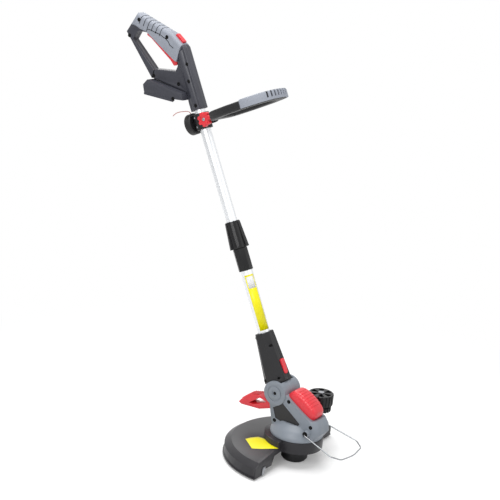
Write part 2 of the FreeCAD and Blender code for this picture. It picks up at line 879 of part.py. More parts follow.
def make_collar():
    body = new_body("lock_collar", "shaft")
    revolve(body, "cone", poly((0, d.collar_foot), (collar_foot_r, d.collar_foot),
                               (collar_top_r, d.collar_top), (0, d.collar_top)))
    half = d.lobe_width / 2
    foot = rect(0, -half, collar_foot_r + d.lobe_reach_foot, half)
    top = rect(0, -half * 0.8, collar_top_r + d.lobe_reach_top, half * 0.8)
    lobe = loft(body, "lobe", [(d.collar_foot, foot), (d.collar_top - d.lobe_reach_top, top)])
    repeat_round(body, lobe, "z", d.lobe_count)
    shoulder = d.sleeve_top + d.run_gap
    cut_out(body, "spigot_room", "z", [disc(0, 0, collar_inner)], d.collar_foot, shoulder)
    cut_out(body, "collet_room", "z", [disc(0, 0, collet_r + d.run_gap)], shoulder, collet_top + d.run_gap)
    cut_out(body, "lip", "z", [disc(0, 0, lower_inner)], collet_top + d.run_gap, d.collar_top)


make_tube("upper_tube", d.upper_tube_r, d.upper_tube_r - d.tube_wall, d.upper_tube_foot, d.upper_tube_top)
make_tube("lower_tube", lower_r, lower_inner, d.lower_tube_foot, d.lower_tube_top)
make_sleeve()
make_collet()
make_collar()

# ---------------------------------------------------------------------------
# Neck: two tapered shells round the foot of the lower tube, with the barrel
# that the motor head tilts on, and the button that frees the half turn
# ---------------------------------------------------------------------------
neck_screw_places = (
    (-d.neck_screw_rear, d.neck_screw_low, 24.6),
    (d.neck_screw_front, d.neck_screw_low, 18),
    (d.neck_screw_front - 1, d.neck_screw_mid, 13),
    (-d.neck_screw_rear, d.neck_screw_top, 11.5),
)
flange_front = d.button_back + 2.6


def neck_section(side, depth, width):
    b = width * side
    return poly((-depth, 0), (-depth, b * d.neck_corner), (-depth * d.neck_corner, b),
                (depth * d.neck_corner, b), (depth, b * d.neck_corner), (depth, 0))


def make_neck_shell(name, side):
    body = new_body("neck_shell_" + name, "shaft")
    loft(body, "taper", [(d.neck_foot, neck_section(side, d.neck_foot_depth, d.neck_foot_width)),
                         (d.neck_top, neck_section(side, d.neck_top_depth, d.neck_top_width))])
    extrude(body, "barrel", "y", [disc(d.shaft_setback, 0, d.barrel_r)], *span(side, 0, d.barrel_half))
    cut_out(body, "tube_bore", "z", [disc(0, 0, lower_r + d.run_gap)], d.lower_tube_foot - d.run_gap, d.neck_top)
    cut_out(body, "mouth", "z", [disc(0, 0, d.mouth_r)], d.neck_top - d.mouth_depth, d.neck_top)
    half = d.button_width / 2 + d.run_gap
    hole = oblong(-half, d.button_low - d.run_gap, half, d.button_high + d.run_gap, half / 2)
    cut_out(body, "button_hole", "x", [hole], d.button_back, d.neck_foot_depth + half)
    cavity = rect(d.button_back / 3, d.button_low - 2, flange_front + d.run_gap, d.button_high + 2)
    cut_out(body, "button_room", "y", [cavity], *span(side, 0, half + 2))
    cut_out(body, "bolt_bore", "y", [disc(d.shaft_setback, 0, d.bolt_r + d.run_gap)],
            *span(side, 0, d.neck_foot_width))
    screw_room(body, side, neck_screw_places, d.neck_foot_width + half)


def make_turn_button():
    body = new_body("turn_button", "shaft")
    half = d.button_width / 2
    extrude(body, "key", "x", [oblong(-half, d.button_low, half, d.button_high, half / 2)],
            d.button_back, d.button_face)
    dress(body, "edge", "Fillet", d.button_round, lambda edge: at("x", d.button_face, edge))
    flange = rect(-half - 1.5, d.button_low - 1.5, half + 1.5, d.button_high + 1.5)
    extrude(body, "flange", "x", [flange], d.button_back, flange_front)
    middle = (d.button_low + d.button_high) / 2
    back = number(d.button_back) / 3
    length = number(d.button_back) - back - number(d.button_travel) - number(d.run_gap)
    coil("turn_button_spring", shaft_placement(back, 0, middle, Rotation(Vector(0, 1, 0), 90)),
         number(half) / 2, length, 5)


for name, side in SIDES:
    make_neck_shell(name, side)
make_turn_button()
screws("neck_screws", "shaft", neck_screw_places)

# ---------------------------------------------------------------------------
# Motor head: two housing shells with the tilt ears, the motor, its cover,
# side panels, screws and the pivot bolt
# ---------------------------------------------------------------------------
head_screw_places = ((-12, 148, 29), (52, 104, 27), (-45, 92, 27))
inner_ear = d.ear_in
nut_side = d.ear_out - d.bolt_head_h


def polar(angle, r):
    """A point at an angle and radius about the tilt pivot, in the ground frame."""
    return d.pivot_x + angle.cos() * r, d.pivot_z + angle.sin() * r


def make_housing(name, side):
    body = new_body("motor_housing_" + name)
    extrude(body, "side", "y", [profile("housing")], *span(side, 0, d.side_half))
    dress(body, "nose_round", "Fillet", d.nose_round,
          lambda edge: at("y", d.side_half * side, edge) and edge.BoundBox.XMin > number(d.boss_x) + d.boss_r.value)
    extrude(body, "ear", "y", [disc(d.pivot_x, d.pivot_z, d.ear_r)], *span(side, 0, d.ear_out))
    flange = poly((0, d.flange_low), (d.flange_r, d.flange_low), (d.flange_r, d.flange_low + d.flange_edge),
                  (d.flange_mid_r, d.flange_mid_z), (d.flange_top_r, d.flange_top_z), (0, d.flange_top_z))
    before = body.Shape.Volume
    sketch = new_sketch(body, body.Label + "_flange_outline", "y", 0, [flange])
    turn = body.newObject("PartDesign::Revolution", body.Label + "_flange")
    turn.Profile = sketch
    turn.ReferenceAxis = (sketch, ["V_Axis"])
    turn.Angle = 180
    turn.Reversed = side < 0
    checked(body, turn, False, before)
    extrude(body, "wire_boss", "y", [disc(d.boss_x, d.boss_z, d.boss_r)], *span(side, 0, d.boss_out))
    gap = d.run_gap
    cut_out(body, "fork", "y", [disc(d.pivot_x, d.pivot_z, d.barrel_r + gap)], *span(side, 0, d.ear_in))
    top, wide = d.web_top_angle, d.neck_foot_depth * 3
    sector = poly((d.pivot_x, d.pivot_z), polar(top, wide), polar(top + 60, wide), polar(d.web_rear_angle, wide))
    cut_out(body, "neck_room", "y", [sector], *span(side, 0, d.ear_in))
    cut_out(body, "bolt_hole", "y", [disc(d.pivot_x, d.pivot_z, d.bolt_r + d.pin_gap)],
            *span(side, 0, d.ear_out))
    cut_out(body, "bolt_seat", "y", [disc(d.pivot_x, d.pivot_z, d.bolt_head_r + d.seat_gap)],
            *span(side, nut_side, d.ear_out))
    ring = [disc(d.pivot_x, d.pivot_z, d.ear_ring_r), disc(d.pivot_x, d.pivot_z, d.ear_ring_r - d.ear_ring_width)]
    cut_out(body, "ear_ring", "y", ring, *span(side, d.ear_out - d.ear_step, d.ear_out))
    cut_out(body, "motor_room", "z", [disc(0, 0, d.motor_r + gap)], d.motor_low, d.motor_high + gap)
    cut_out(body, "motor_neck", "z", [disc(0, 0, d.motor_neck_r + gap)], d.motor_low - d.motor_neck_h, d.motor_low)
    cut_out(body, "shaft_room", "z", [disc(0, 0, d.shaft_r * 2)], d.flange_low, d.motor_low - d.motor_neck_h)
    cut_out(body, "wire_bore", "y", [disc(d.boss_x, d.boss_z, d.guard_wire_r + d.pin_gap)],
            *span(side, d.boss_out - d.boss_bore_depth, d.boss_out))
    cut_out(body, "panel_room", "y", [profile("panel")],
            *span(side, d.side_half - d.panel_depth, d.side_half))
    cut_out(body, "pedal_room", "y", [profile("pedal_room")], *span(side, 0, d.pedal_hub_half + gap))
    cut_out(body, "pedal_pin_bore", "y", [disc(d.pedal_pin_x, d.pedal_pin_z, d.pedal_pin_r + d.pin_gap)],
            *span(side, 0, d.side_half - d.panel_depth * 3))
    screw_room(body, side, head_screw_places, d.ear_out + d.boss_r)
    return body


def make_motor():
    body = new_body("motor")
    extrude(body, "can", "z", [disc(0, 0, d.motor_r)], d.motor_low, d.motor_high)
    extrude(body, "neck", "z", [disc(0, 0, d.motor_neck_r)], d.motor_low - d.motor_neck_h, d.motor_low)
    cut_out(body, "bearing_bore", "z", [disc(0, 0, d.shaft_r + d.pin_gap)],
            d.motor_low - d.motor_neck_h, d.motor_high)


def make_cover():
    body = new_body("motor_cover", "cover")
    outline = poly((0, 0), (d.cover_len, 0), (d.cover_tip_u, d.cover_tip_height),
                   (d.cover_brow_u, d.cover_brow_height), (d.cover_crown_b, d.cover_height),
                   (d.cover_crown_a, d.cover_height), (d.cover_tail, d.cover_tail_height))
    extrude(body, "dome", "y", [outline], -d.cover_half, d.cover_half)
    dress(body, "sides", "Fillet", d.cover_round,
          lambda edge: (at("y", d.cover_half, edge) or at("y", -d.cover_half, edge))
          and edge.BoundBox.ZMax > 1)
    wall = d.cover_wall
    room = poly((wall * 3, 0), (d.cover_len - wall, 0), (d.cover_brow_u - wall, d.cover_brow_height - wall * 2),
                (d.cover_crown_b, d.cover_height - wall * 2), (d.cover_crown_a, d.cover_height - wall * 2),
                (d.cover_tail + wall, d.cover_tail_height - wall * 3))
    cut_out(body, "room", "y", [room], wall * 2 - d.cover_half, d.cover_half - wall * 2)
    tail, crown_a = (d.cover_tail, d.cover_tail_height), (d.cover_crown_a, d.cover_height)
    crown_b, brow = (d.cover_crown_b, d.cover_height), (d.cover_brow_u, d.cover_brow_height)
    stretches = ((tail, crown_a, (0.35, )), (crown_a, crown_b, (0.08, 0.4, 0.72)), (crown_b, brow, (0.05, 0.35, 0.65)))
    row = [strip_across(first, last, share, d.rib_width / 2, wall, d.rib_depth)
           for first, last, shares in stretches for share in shares]
    cut_out(body, "grooves", "y", row, -d.cover_half, d.cover_half)


def make_panel(name, side):
    body = new_body("side_panel_" + name)
    extrude(body, "plate", "y", [profile("panel_plate")],
            *span(side, d.side_half - d.panel_depth, d.side_half - d.panel_depth + d.panel_proud + 0.6))


def make_pivot():
    body = new_body("pivot_bolt")
    extrude(body, "shank", "y", [disc(d.pivot_x, d.pivot_z, d.bolt_r)], -d.ear_out + d.bolt_head_h, nut_side)
    extrude(body, "head", "y", [disc(d.pivot_x, d.pivot_z, d.bolt_head_r)],
            -d.ear_out + d.bolt_head_h / 3, -d.ear_out + d.bolt_head_h)
    cut_out(body, "socket", "y", [disc(d.pivot_x, d.pivot_z, d.bolt_r * 0.7)],
            -d.ear_out + d.bolt_head_h / 3, -d.ear_out + d.bolt_head_h)
    extrude(body, "nut_end", "y", [disc(d.pivot_x, d.pivot_z, d.bolt_head_r)],
            nut_side, d.ear_out - d.bolt_head_h / 3)


for name, side in SIDES:
    make_housing(name, side)
    make_panel(name, side)
make_motor()
make_cover()
make_pivot()
screws("head_screws", "ground", head_screw_places)

# ---------------------------------------------------------------------------
# Foot pedal, its pin and spring
# ---------------------------------------------------------------------------


def make_pedal():
    body = new_body("foot_pedal")
    extrude(body, "stirrup", "y", [profile("pedal")], -d.pedal_half, d.pedal_half)
    cut_out(body, "slot", "y", [profile("pedal_slot")], -d.pedal_half, d.pedal_half)
    neck = poly((-74, 124), (d.pedal_pin_x, d.pedal_pin_z + d.pedal_hub_r),
                (d.pedal_pin_x, d.pedal_pin_z - d.pedal_hub_r), (-74, 106))
    extrude(body, "tongue", "y", [neck], -d.pedal_hub_half, d.pedal_spring_seat)
    extrude(body, "hub", "y", [disc(d.pedal_pin_x, d.pedal_pin_z, d.pedal_hub_r)],
            -d.pedal_hub_half, d.pedal_spring_seat)
    cut_out(body, "pin_bore", "y", [disc(d.pedal_pin_x, d.pedal_pin_z, d.pedal_pin_r + d.pin_gap)],
            -d.pedal_hub_half, d.pedal_hub_half)
    corners = profile("pedal")[1]
    for name, stretch, count in (("rise", corners[1:3], 4), ("crest", corners[2:4], 5)):
        for index in range(count):
            ridge = strip_across(*stretch, (index + 0.5) / count, d.pedal_rib_width / 2, d.pedal_rib_height, 2)
            extrude(body, "%s%d" % (name, index), "y", [ridge], 1 - d.pedal_half, d.pedal_half - 1)
    pin = new_body("pedal_pin")
    reach = d.pedal_hub_half * 2
    extrude(pin, "rod", "y", [disc(d.pedal_pin_x, d.pedal_pin_z, d.pedal_pin_r)], -reach, reach)
    place = [number(size) for size in (d.pedal_pin_x, d.pedal_spring_seat + d.run_gap, d.pedal_pin_z)]
    coil("pedal_spring", Placement(Vector(*place), Rotation(Vector(1, 0, 0), -90)), number(d.pedal_spring_r),
         number(d.pedal_hub_half - d.pedal_spring_seat - d.run_gap), 3)


make_pedal()

# ---------------------------------------------------------------------------
# Guard round the cutting line, its line cutter and screws
# ---------------------------------------------------------------------------
guard_screw_places = ((0, 50), (0, -50), (-50, 0), (50, 0))


def make_guard():
    body = new_body("guard")
    wall = d.guard_wall
    revolve(body, "crown", poly((d.guard_bore_r, d.guard_top - wall), (d.front_skirt_r - wall, d.guard_top - wall),
                                (d.front_skirt_r - wall, d.front_skirt_low), (d.front_skirt_r, d.front_skirt_low),
                                (d.front_skirt_r, d.guard_top), (d.guard_bore_r, d.guard_top)))
    wing = [(d.front_skirt_r - wall, d.guard_top), (d.front_skirt_r - wall, d.guard_top - wall),
            (d.guard_boss_r - wall, d.guard_boss_z - wall), (d.guard_boss_r - wall, d.guard_foot_z - wall),
            (d.guard_foot_r, d.guard_foot_z - wall), (d.guard_shoulder_r - wall / 2, d.guard_shoulder_z - wall),
            (d.guard_r - wall, d.guard_skirt_top - wall / 2), (d.guard_r - wall, d.guard_low),
            (d.guard_r + d.guard_lip, d.guard_low), (d.guard_r + d.guard_lip, d.guard_low + d.guard_lip_h),
            (d.guard_r, d.guard_low + d.guard_lip_h), (d.guard_r, d.guard_skirt_top),
            (d.guard_shoulder_r, d.guard_shoulder_z), (d.guard_foot_r, d.guard_foot_z),
            (d.guard_boss_r, d.guard_foot_z), (d.guard_boss_r, d.guard_boss_z)]
    revolve(body, "wing", poly(*[(-x, z) for x, z in wing]), angle=180)
    web = [(d.front_skirt_r - wall / 2, d.front_skirt_low), (d.web_step_a, d.web_step_a_z),
           (d.web_step_b, d.web_step_b_z), (d.web_step_c, d.web_step_b_z), (d.web_step_c + 2, d.guard_low),
           (d.guard_r, d.guard_low), (d.guard_r, d.guard_skirt_top), (d.guard_shoulder_r, d.guard_shoulder_z),
           (d.guard_foot_r, d.guard_foot_z), (d.guard_boss_r, d.guard_foot_z),
           (d.guard_boss_r, d.guard_boss_z), (d.front_skirt_r - wall / 2, d.guard_top)]
    for name, side in SIDES:
        extrude(body, "web_" + name, "x", [poly(*[(y * side, z) for y, z in web])], -wall, 0)
    for index, (x, y) in enumerate(guard_screw_places):
        cut_out(body, "screw_hole%d" % index, "z", [disc(x, y, d.screw_shank_r + d.seat_gap)],
                d.guard_top - wall, d.guard_top)
    holes = [disc(-y, z, d.screw_shank_r + d.seat_gap) for y, z in cutter_screw_places]
    cut_out(body, "cutter_holes", "x", holes, -wall, 0)


cutter_screw_places = ((d.cutter_screw_in, d.cutter_screw_z), (d.cutter_screw_out, d.cutter_screw_z))


def make_cutter():
    body = new_body("line_cutter")
    blade = poly((-d.cutter_in, d.cutter_low + 8), (-d.cutter_in - 5, d.cutter_low), (-d.cutter_out, d.cutter_low),
                 (-d.cutter_out, d.cutter_high), (-d.cutter_in, d.cutter_high))
    extrude(body, "blade", "x", [blade], 0, d.cutter_thick)
    holes = [disc(-y, z, d.screw_shank_r + d.seat_gap) for y, z in cutter_screw_places]
    cut_out(body, "holes", "x", holes, 0, d.cutter_thick)
    fixing = new_body("cutter_screws")
    for index, (y, z) in enumerate(cutter_screw_places):
        head = d.cutter_thick + d.screw_head_h * 0.6
        extrude(fixing, "head%d" % index, "x", [disc(-y, z, d.screw_head_r * 0.9)], d.cutter_thick, head)
        extrude(fixing, "shank%d" % index, "x", [disc(-y, z, d.screw_shank_r)], -d.guard_wall, d.cutter_thick)


def make_guard_screws():
    body = new_body("guard_screws")
    under = d.guard_top - d.guard_wall
    for index, (x, y) in enumerate(guard_screw_places):
        extrude(body, "head%d" % index, "z", [disc(x, y, d.screw_head_r)], under - d.screw_head_h, under)
        extrude(body, "shank%d" % index, "z", [disc(x, y, d.screw_shank_r)], under, d.guard_top)


make_guard()
make_cutter()
make_guard_screws()

# ---------------------------------------------------------------------------
# Spool: shaft, drive cup, eyelet, line spool, wound line, spring, bump cap
# ---------------------------------------------------------------------------


def make_spool():
    shaft = new_body("motor_shaft")
    extrude(shaft, "rod", "z", [disc(0, 0, d.shaft_r)], d.shaft_low, d.motor_high - d.run_gap)
    drive = new_body("spool_drive")
    inner = d.drive_r - d.drive_wall
    roof = d.drive_high - d.drive_wall
    revolve(drive, "cup", poly((0, d.drive_high), (0, roof), (inner, roof), (inner, d.drive_low),
                               (d.drive_r, d.drive_low), (d.drive_r, d.drive_high - 3), (d.drive_r - 4, d.drive_high)))
    extrude(drive, "hub", "z", [disc(0, 0, d.drive_hub_r)], d.drive_low + 6, roof)
    cut_out(drive, "shaft_bore", "z", [disc(0, 0, d.shaft_r + d.pin_gap)], d.drive_low, d.drive_high)
    cut_out(drive, "eyelet_hole", "x", [disc(0, d.line_z, d.eyelet_r + d.seat_gap)], -d.drive_r - 1, -inner + 1)
    slot_cut = cut_out(drive, "vent", "x", [rect(-3, d.drive_high - 14, 3, d.drive_high - 7)],
                       inner - 2, d.drive_r + 1)
    repeat_round(drive, slot_cut, "z", 5)
    spool = new_body("line_spool")
    flange = d.spool_flange
    bore = d.drive_hub_r + d.run_gap
    revolve(spool, "reel", poly((bore, d.spool_low), (d.spool_r, d.spool_low), (d.spool_r, d.spool_low + flange),
                                (d.spool_core_r, d.spool_low + flange), (d.spool_core_r, d.spool_high - flange),
                                (d.spool_r, d.spool_high - flange), (d.spool_r, d.spool_high), (bore, d.spool_high)))
    wound = new_body("wound_line")
    edge = d.spool_r - 3
    extrude(wound, "winding", "z", [disc(0, 0, edge), disc(0, 0, d.spool_core_r + d.seat_gap)],
            d.spool_low + flange + d.seat_gap, d.spool_high - flange - d.seat_gap)
    eyelet = new_body("line_eyelet")
    bore_r = d.line_r + d.run_gap
    extrude(eyelet, "sleeve", "x", [disc(0, d.line_z, d.eyelet_r), disc(0, d.line_z, bore_r)],
            -d.drive_r - d.eyelet_lip, -inner)
    extrude(eyelet, "lip", "x", [disc(0, d.line_z, d.eyelet_r + d.eyelet_lip), disc(0, d.line_z, bore_r)],
            -d.drive_r - d.eyelet_lip, -d.drive_r - d.seat_gap)
    line = new_body("cutting_line")
    extrude(line, "strand", "x", [disc(0, d.line_z, d.line_r)], -d.line_reach, -edge - d.seat_gap)
    cap = new_body("bump_cap")
    shell = poly((0, 0), (d.cap_flat_r, 0), (d.cap_r - 3, 2), (d.cap_r, d.cap_high), (0, d.cap_high))
    revolve(cap, "bowl", shell)
    revolve(cap, "well", poly((0, 3.5), (d.cap_r - 5, 3.5), (d.cap_r - 3, d.cap_high), (0, d.cap_high)), cut=True)
    extrude(cap, "post", "z", [disc(0, 0, d.drive_hub_r + 3), disc(0, 0, d.drive_hub_r + d.run_gap)], 3.5,
            d.spool_low)
    spring_low = number(d.spool_high)
    coil("spool_spring", Placement(Vector(0, 0, spring_low), Rotation()), number(d.drive_hub_r) + 2,
         number(roof) - spring_low, 2)


make_spool()

# ---------------------------------------------------------------------------
# Guide wheel on its post, and the wire plant guard
# ---------------------------------------------------------------------------


def make_wheel():
    wheel = new_body("guide_wheel", "ground", d.wheel_x, d.wheel_y, 0)
    bore = d.post_r + d.pin_gap
    revolve(wheel, "drums", poly((bore, d.wheel_low), (d.wheel_low_r, d.wheel_low), (d.wheel_low_r, d.wheel_groove_low),
                                 (d.wheel_groove_r, d.wheel_groove_low), (d.wheel_groove_r, d.wheel_groove_high),
                                 (d.wheel_r, d.wheel_groove_high), (d.wheel_r, d.wheel_high - 1.5),
                                 (d.wheel_r - 1.5, d.wheel_high), (bore, d.wheel_high)))
    half = d.notch_width / 2
    for name, r, low, high in (("upper", d.wheel_r, d.wheel_groove_high, d.wheel_high),
                               ("lower", d.wheel_low_r, d.wheel_low, d.wheel_groove_low)):
        notch = cut_out(wheel, "notch_" + name, "z", [rect(r - d.notch_depth, -half, r + 2, half)], low, high)
        repeat_round(wheel, notch, "z", d.wheel_notches)
    inner, outer = d.wheel_hub_r, d.wheel_r - d.wheel_rim
    wide_in, wide_out = d.window_in_half, d.window_out_half
    window = poly((inner, -wide_in), (outer - 1.5, -wide_out), (outer, 0), (outer - 1.5, wide_out), (inner, wide_in))
    spoke = cut_out(wheel, "window", "z", [window], d.wheel_groove_low + d.wheel_web, d.wheel_high)
    repeat_round(wheel, spoke, "z", d.spoke_count)
    bracket = new_body("wheel_bracket", "ground", d.wheel_x, d.wheel_y, 0)
    reach = d.wheel_y - d.side_half
    extrude(bracket, "arm", "z", [rect(-d.arm_half, -reach, d.arm_half, 0)], d.arm_low, d.arm_high)
    foot = rect(-d.arm_half, d.arm_low - d.arm_foot_drop, d.arm_half, d.arm_high + d.arm_foot_rise)
    extrude(bracket, "foot", "y", [foot], -reach, d.arm_foot_thick - reach)
    extrude(bracket, "boss", "z", [disc(0, 0, d.arm_half)], d.arm_low, d.wheel_low - d.run_gap)
    extrude(bracket, "post", "z", [disc(0, 0, d.post_r)], d.arm_high, d.wheel_high + d.run_gap)
    cut_out(bracket, "screw_bore", "z", [disc(0, 0, d.screw_shank_r + d.seat_gap)], d.wheel_high - 16,
            d.wheel_high + d.run_gap)
    screw = new_body("wheel_screw", "ground", d.wheel_x, d.wheel_y, 0)
    top = d.wheel_high + d.run_gap
    extrude(screw, "head", "z", [disc(0, 0, d.post_r + 2)], top, top + 1.8)
    extrude(screw, "shank", "z", [disc(0, 0, d.screw_shank_r)], d.wheel_high - 14, top)


def make_wire_guard():
    half = [(0, d.boss_out - d.boss_bore_depth + d.run_gap), (0, d.boss_out + d.wire_bend),
            (d.wire_bulge_x, d.wire_bulge_y), (d.wire_corner_x, d.wire_corner_y), (d.wire_reach, 0)]
    points = [Vector(number(x), number(y), 0) for x, y in half]
    other = [Vector(p.x, -p.y, 0) for p in reversed(points[:-1])]
    bend, corner = number(d.wire_bend), number(d.wire_corner_bend)
    bends = [bend, corner, corner, corner * 8, corner, corner, bend]
    rod, length = pipe_run(points + other, bends, number(d.guard_wire_r))
    turn = Rotation(Vector(0, 1, 0), number(d.wire_slope))
    add_shape("plant_guard", rod, Placement(Vector(number(d.boss_x), 0, number(d.boss_z)), turn))
    print("plant guard wire length", round(length, 1))


make_wheel()
make_wire_guard()

# ---------------------------------------------------------------------------
# Rear handle: two shells, two soft grip covers, trigger, lock-off button,
# switch, contact block and screws, all in the shaft frame
# ---------------------------------------------------------------------------
tube_seat_r = d.upper_tube_r + d.seat_gap
body_face = d.body_half - d.screw_sunk
plate_face = d.plate_half - d.screw_sunk
handle_screw_places = ((-91, 787, plate_face), (-28, 748, plate_face), (10.2, 783.5, plate_face),
                       (-40, 718, d.foot_half - d.screw_sunk), (-129, 897, d.strut_half - d.screw_sunk),
                       (-84, 921, body_face), (-20, 858, body_face))
socket_screw_places = (d.socket_screw_low, d.socket_screw_high)


def open_switch_parts(body, side, half):
    """The rooms for the trigger, the lock-off button and the trigger's pin."""
    cut_out(body, "trigger_room", "y", [profile("trigger_room")], *span(side, 0, d.trigger_half + d.run_gap))
    cut_out(body, "button_room", "y", [profile("lockoff_room")], *span(side, 0, d.lockoff_half + d.run_gap))


def make_handle_shell(name, side):
    body = new_body("handle_shell_" + name, "shaft")
    extrude(body, "body", "y", [profile("handle_body")], *span(side, 0, d.plate_half))
    dress(body, "spine", "Fillet", d.moulding_round, lambda edge: at("y", d.plate_half * side, edge))
    extrude(body, "strut", "y", [profile("strut")], *span(side, 0, d.strut_half))
    dress(body, "strut_round", "Fillet", d.moulding_round,
          lambda edge: at("y", d.strut_half * side, edge) and along_strut(edge))
    extrude(body, "foot", "y", [profile("battery_foot")], *span(side, 0, d.foot_half))
    extrude(body, "column", "z", [disc(0, 0, d.socket_r)], d.socket_low, d.column_top)
    cut_out(body, "cover_room", "y", [profile("grip")], *span(side, 0, d.body_half))
    extrude(body, "core", "y", [profile("grip_core")], *span(side, 0, d.grip_core_half))
    for part in ("rail", "lip"):
        inner = d.rail_mid if part == "rail" else d.rail_in
        extrude(body, part, "y", [profile("battery_" + part)], *span(side, inner, d.rail_out))
    cut_out(body, "other_half", "y", [rect(-d.foot_half, d.socket_low, d.foot_half, d.column_top)],
            *span(-side, 0, d.foot_half))
    cut_out(body, "tube_bore", "z", [disc(0, 0, tube_seat_r)], d.socket_low, d.upper_tube_top + d.seat_gap)
    open_switch_parts(body, side, d.trigger_half)
    cut_out(body, "switch_room", "y", [rect(-d.switch_n, d.switch_t, d.switch_n + d.switch_depth,
            d.switch_t + d.switch_len)], *span(side, 0, d.trigger_half + d.run_gap))
    cut_out(body, "pin_bore", "y", [disc(d.trigger_pin_n, d.trigger_pin_t, d.trigger_pin_r + d.pin_gap)],
            *span(side, 0, d.grip_core_half))
    screw_room(body, side, handle_screw_places[:-2], d.foot_half)
    holes = [disc(x, z, d.screw_shank_r + d.seat_gap) for x, z, face in handle_screw_places[-2:]]
    cut_out(body, "grip_shanks", "y", holes, *(span(side, 0, d.grip_core_half) if side < 0
            else (0, d.screw_reach + d.seat_gap)))
    if side < 0:
        for index, t in enumerate(socket_screw_places):
            cut_out(body, "socket_screw%d" % index, "y", [disc(d.socket_screw_n, t, d.screw_head_r + d.seat_gap)],
                    -d.socket_r - 1, -d.upper_tube_r - 1)


def along_strut(edge):
    box = edge.BoundBox
    return box.ZMin > number(d.strut_0y) - 1 and box.ZMax - box.ZMin > number(d.body_half)


def make_grip_cover(name, side):
    body = new_body("grip_cover_" + name, "shaft")
    extrude(body, "skin", "y", [profile("grip")], *span(side, 0, d.body_half))
    dress(body, "round", "Fillet", d.grip_round, lambda edge: at("y", d.body_half * side, edge)
          and edge.BoundBox.ZMin > number(d.grip_3y) + 1)
    outline = profile("grip")[1]
    wraps = ((d.groove_depth, 0), (d.groove_turn_depth, d.body_half - d.grip_round / 2),
             (d.groove_side_depth, d.body_half - d.groove_depth))
    for index in range(6):
        share = 0.15 + 0.115 * index
        for turn, (deep, near) in enumerate(wraps):
            strip = strip_across(outline[0], outline[1], share, d.groove_width / 2, deep, deep)
            cut_out(body, "groove%d_%d" % (index, turn), "y", [strip], *span(side, near, d.body_half))
    cut_out(body, "core_room", "y", [profile("grip_core")], *span(side, 0, d.grip_core_half))
    open_switch_parts(body, side, d.trigger_half)
    if side < 0:
        screw_room(body, side, handle_screw_places[-2:], d.body_half)


def make_switch_parts():
    trigger = new_body("trigger", "shaft")
    extrude(trigger, "lever", "y", [profile("trigger")], -d.trigger_half, d.trigger_half)
    dress(trigger, "round", "Fillet", d.trigger_half / 3, lambda edge: abs(edge.BoundBox.YMax) > 5
          and abs(edge.BoundBox.YMax - edge.BoundBox.YMin) < 0.001 and edge.BoundBox.ZMax - edge.BoundBox.ZMin > 40)
    cut_out(trigger, "pin_bore", "y", [disc(d.trigger_pin_n, d.trigger_pin_t, d.trigger_pin_r + d.pin_gap)],
            -d.trigger_half, d.trigger_half)
    pin = new_body("trigger_pin", "shaft")
    extrude(pin, "rod", "y", [disc(d.trigger_pin_n, d.trigger_pin_t, d.trigger_pin_r)],
            0.2 - d.grip_core_half, d.grip_core_half - 0.2)
    button = new_body("lock_off_button", "shaft")
    extrude(button, "key", "y", [profile("lockoff")], -d.lockoff_half, d.lockoff_half)
    dress(button, "round", "Fillet", d.lockoff_half / 5, lambda edge: edge.BoundBox.XMax > number(d.lockoff_0x)
          and edge.BoundBox.XMin > 0 and edge.BoundBox.ZMax > number(d.lockoff_1y) + 1)
    switch = new_body("switch", "shaft")
    gap = d.seat_gap
    extrude(switch, "case", "y", [rect(d.switch_n + gap, d.switch_t + gap, d.switch_n + d.switch_depth - gap,
            d.switch_t + d.switch_len - gap)], -d.trigger_half, d.trigger_half)
    middle = d.switch_t + d.switch_len / 2
    extrude(switch, "plunger", "x", [disc(0, middle, d.trigger_pin_r)], 0, d.switch_n + gap)
    contacts = new_body("battery_contacts", "shaft")
    extrude(contacts, "block", "y", [profile("battery_contacts")], -d.contact_half, d.contact_half)
    spot, way = (-26.5, 859.4), Rotation(Vector(0, 0, 1), Vector(-0.804, 0, -0.594))
    coil("trigger_spring", shaft_placement(spot[0], 0, spot[1], way), 3, 6, 4)


def make_handle_screws():
    screws("handle_screws", "shaft", handle_screw_places)
    pins = new_body("socket_screws", "shaft")
    for index, t in enumerate(socket_screw_places):
        extrude(pins, "head%d" % index, "y", [disc(d.socket_screw_n, t, d.screw_head_r)], d.screw_sunk - d.socket_r,
                -d.upper_tube_r - 1)


for name, side in SIDES:
    make_handle_shell(name, side)
    make_grip_cover(name, side)
make_switch_parts()
make_handle_screws()

# ---------------------------------------------------------------------------
# Front handle: clamp halves on the tube, bolt, star knob, loop and its grip,
# and the holder with the spare spool
# ---------------------------------------------------------------------------


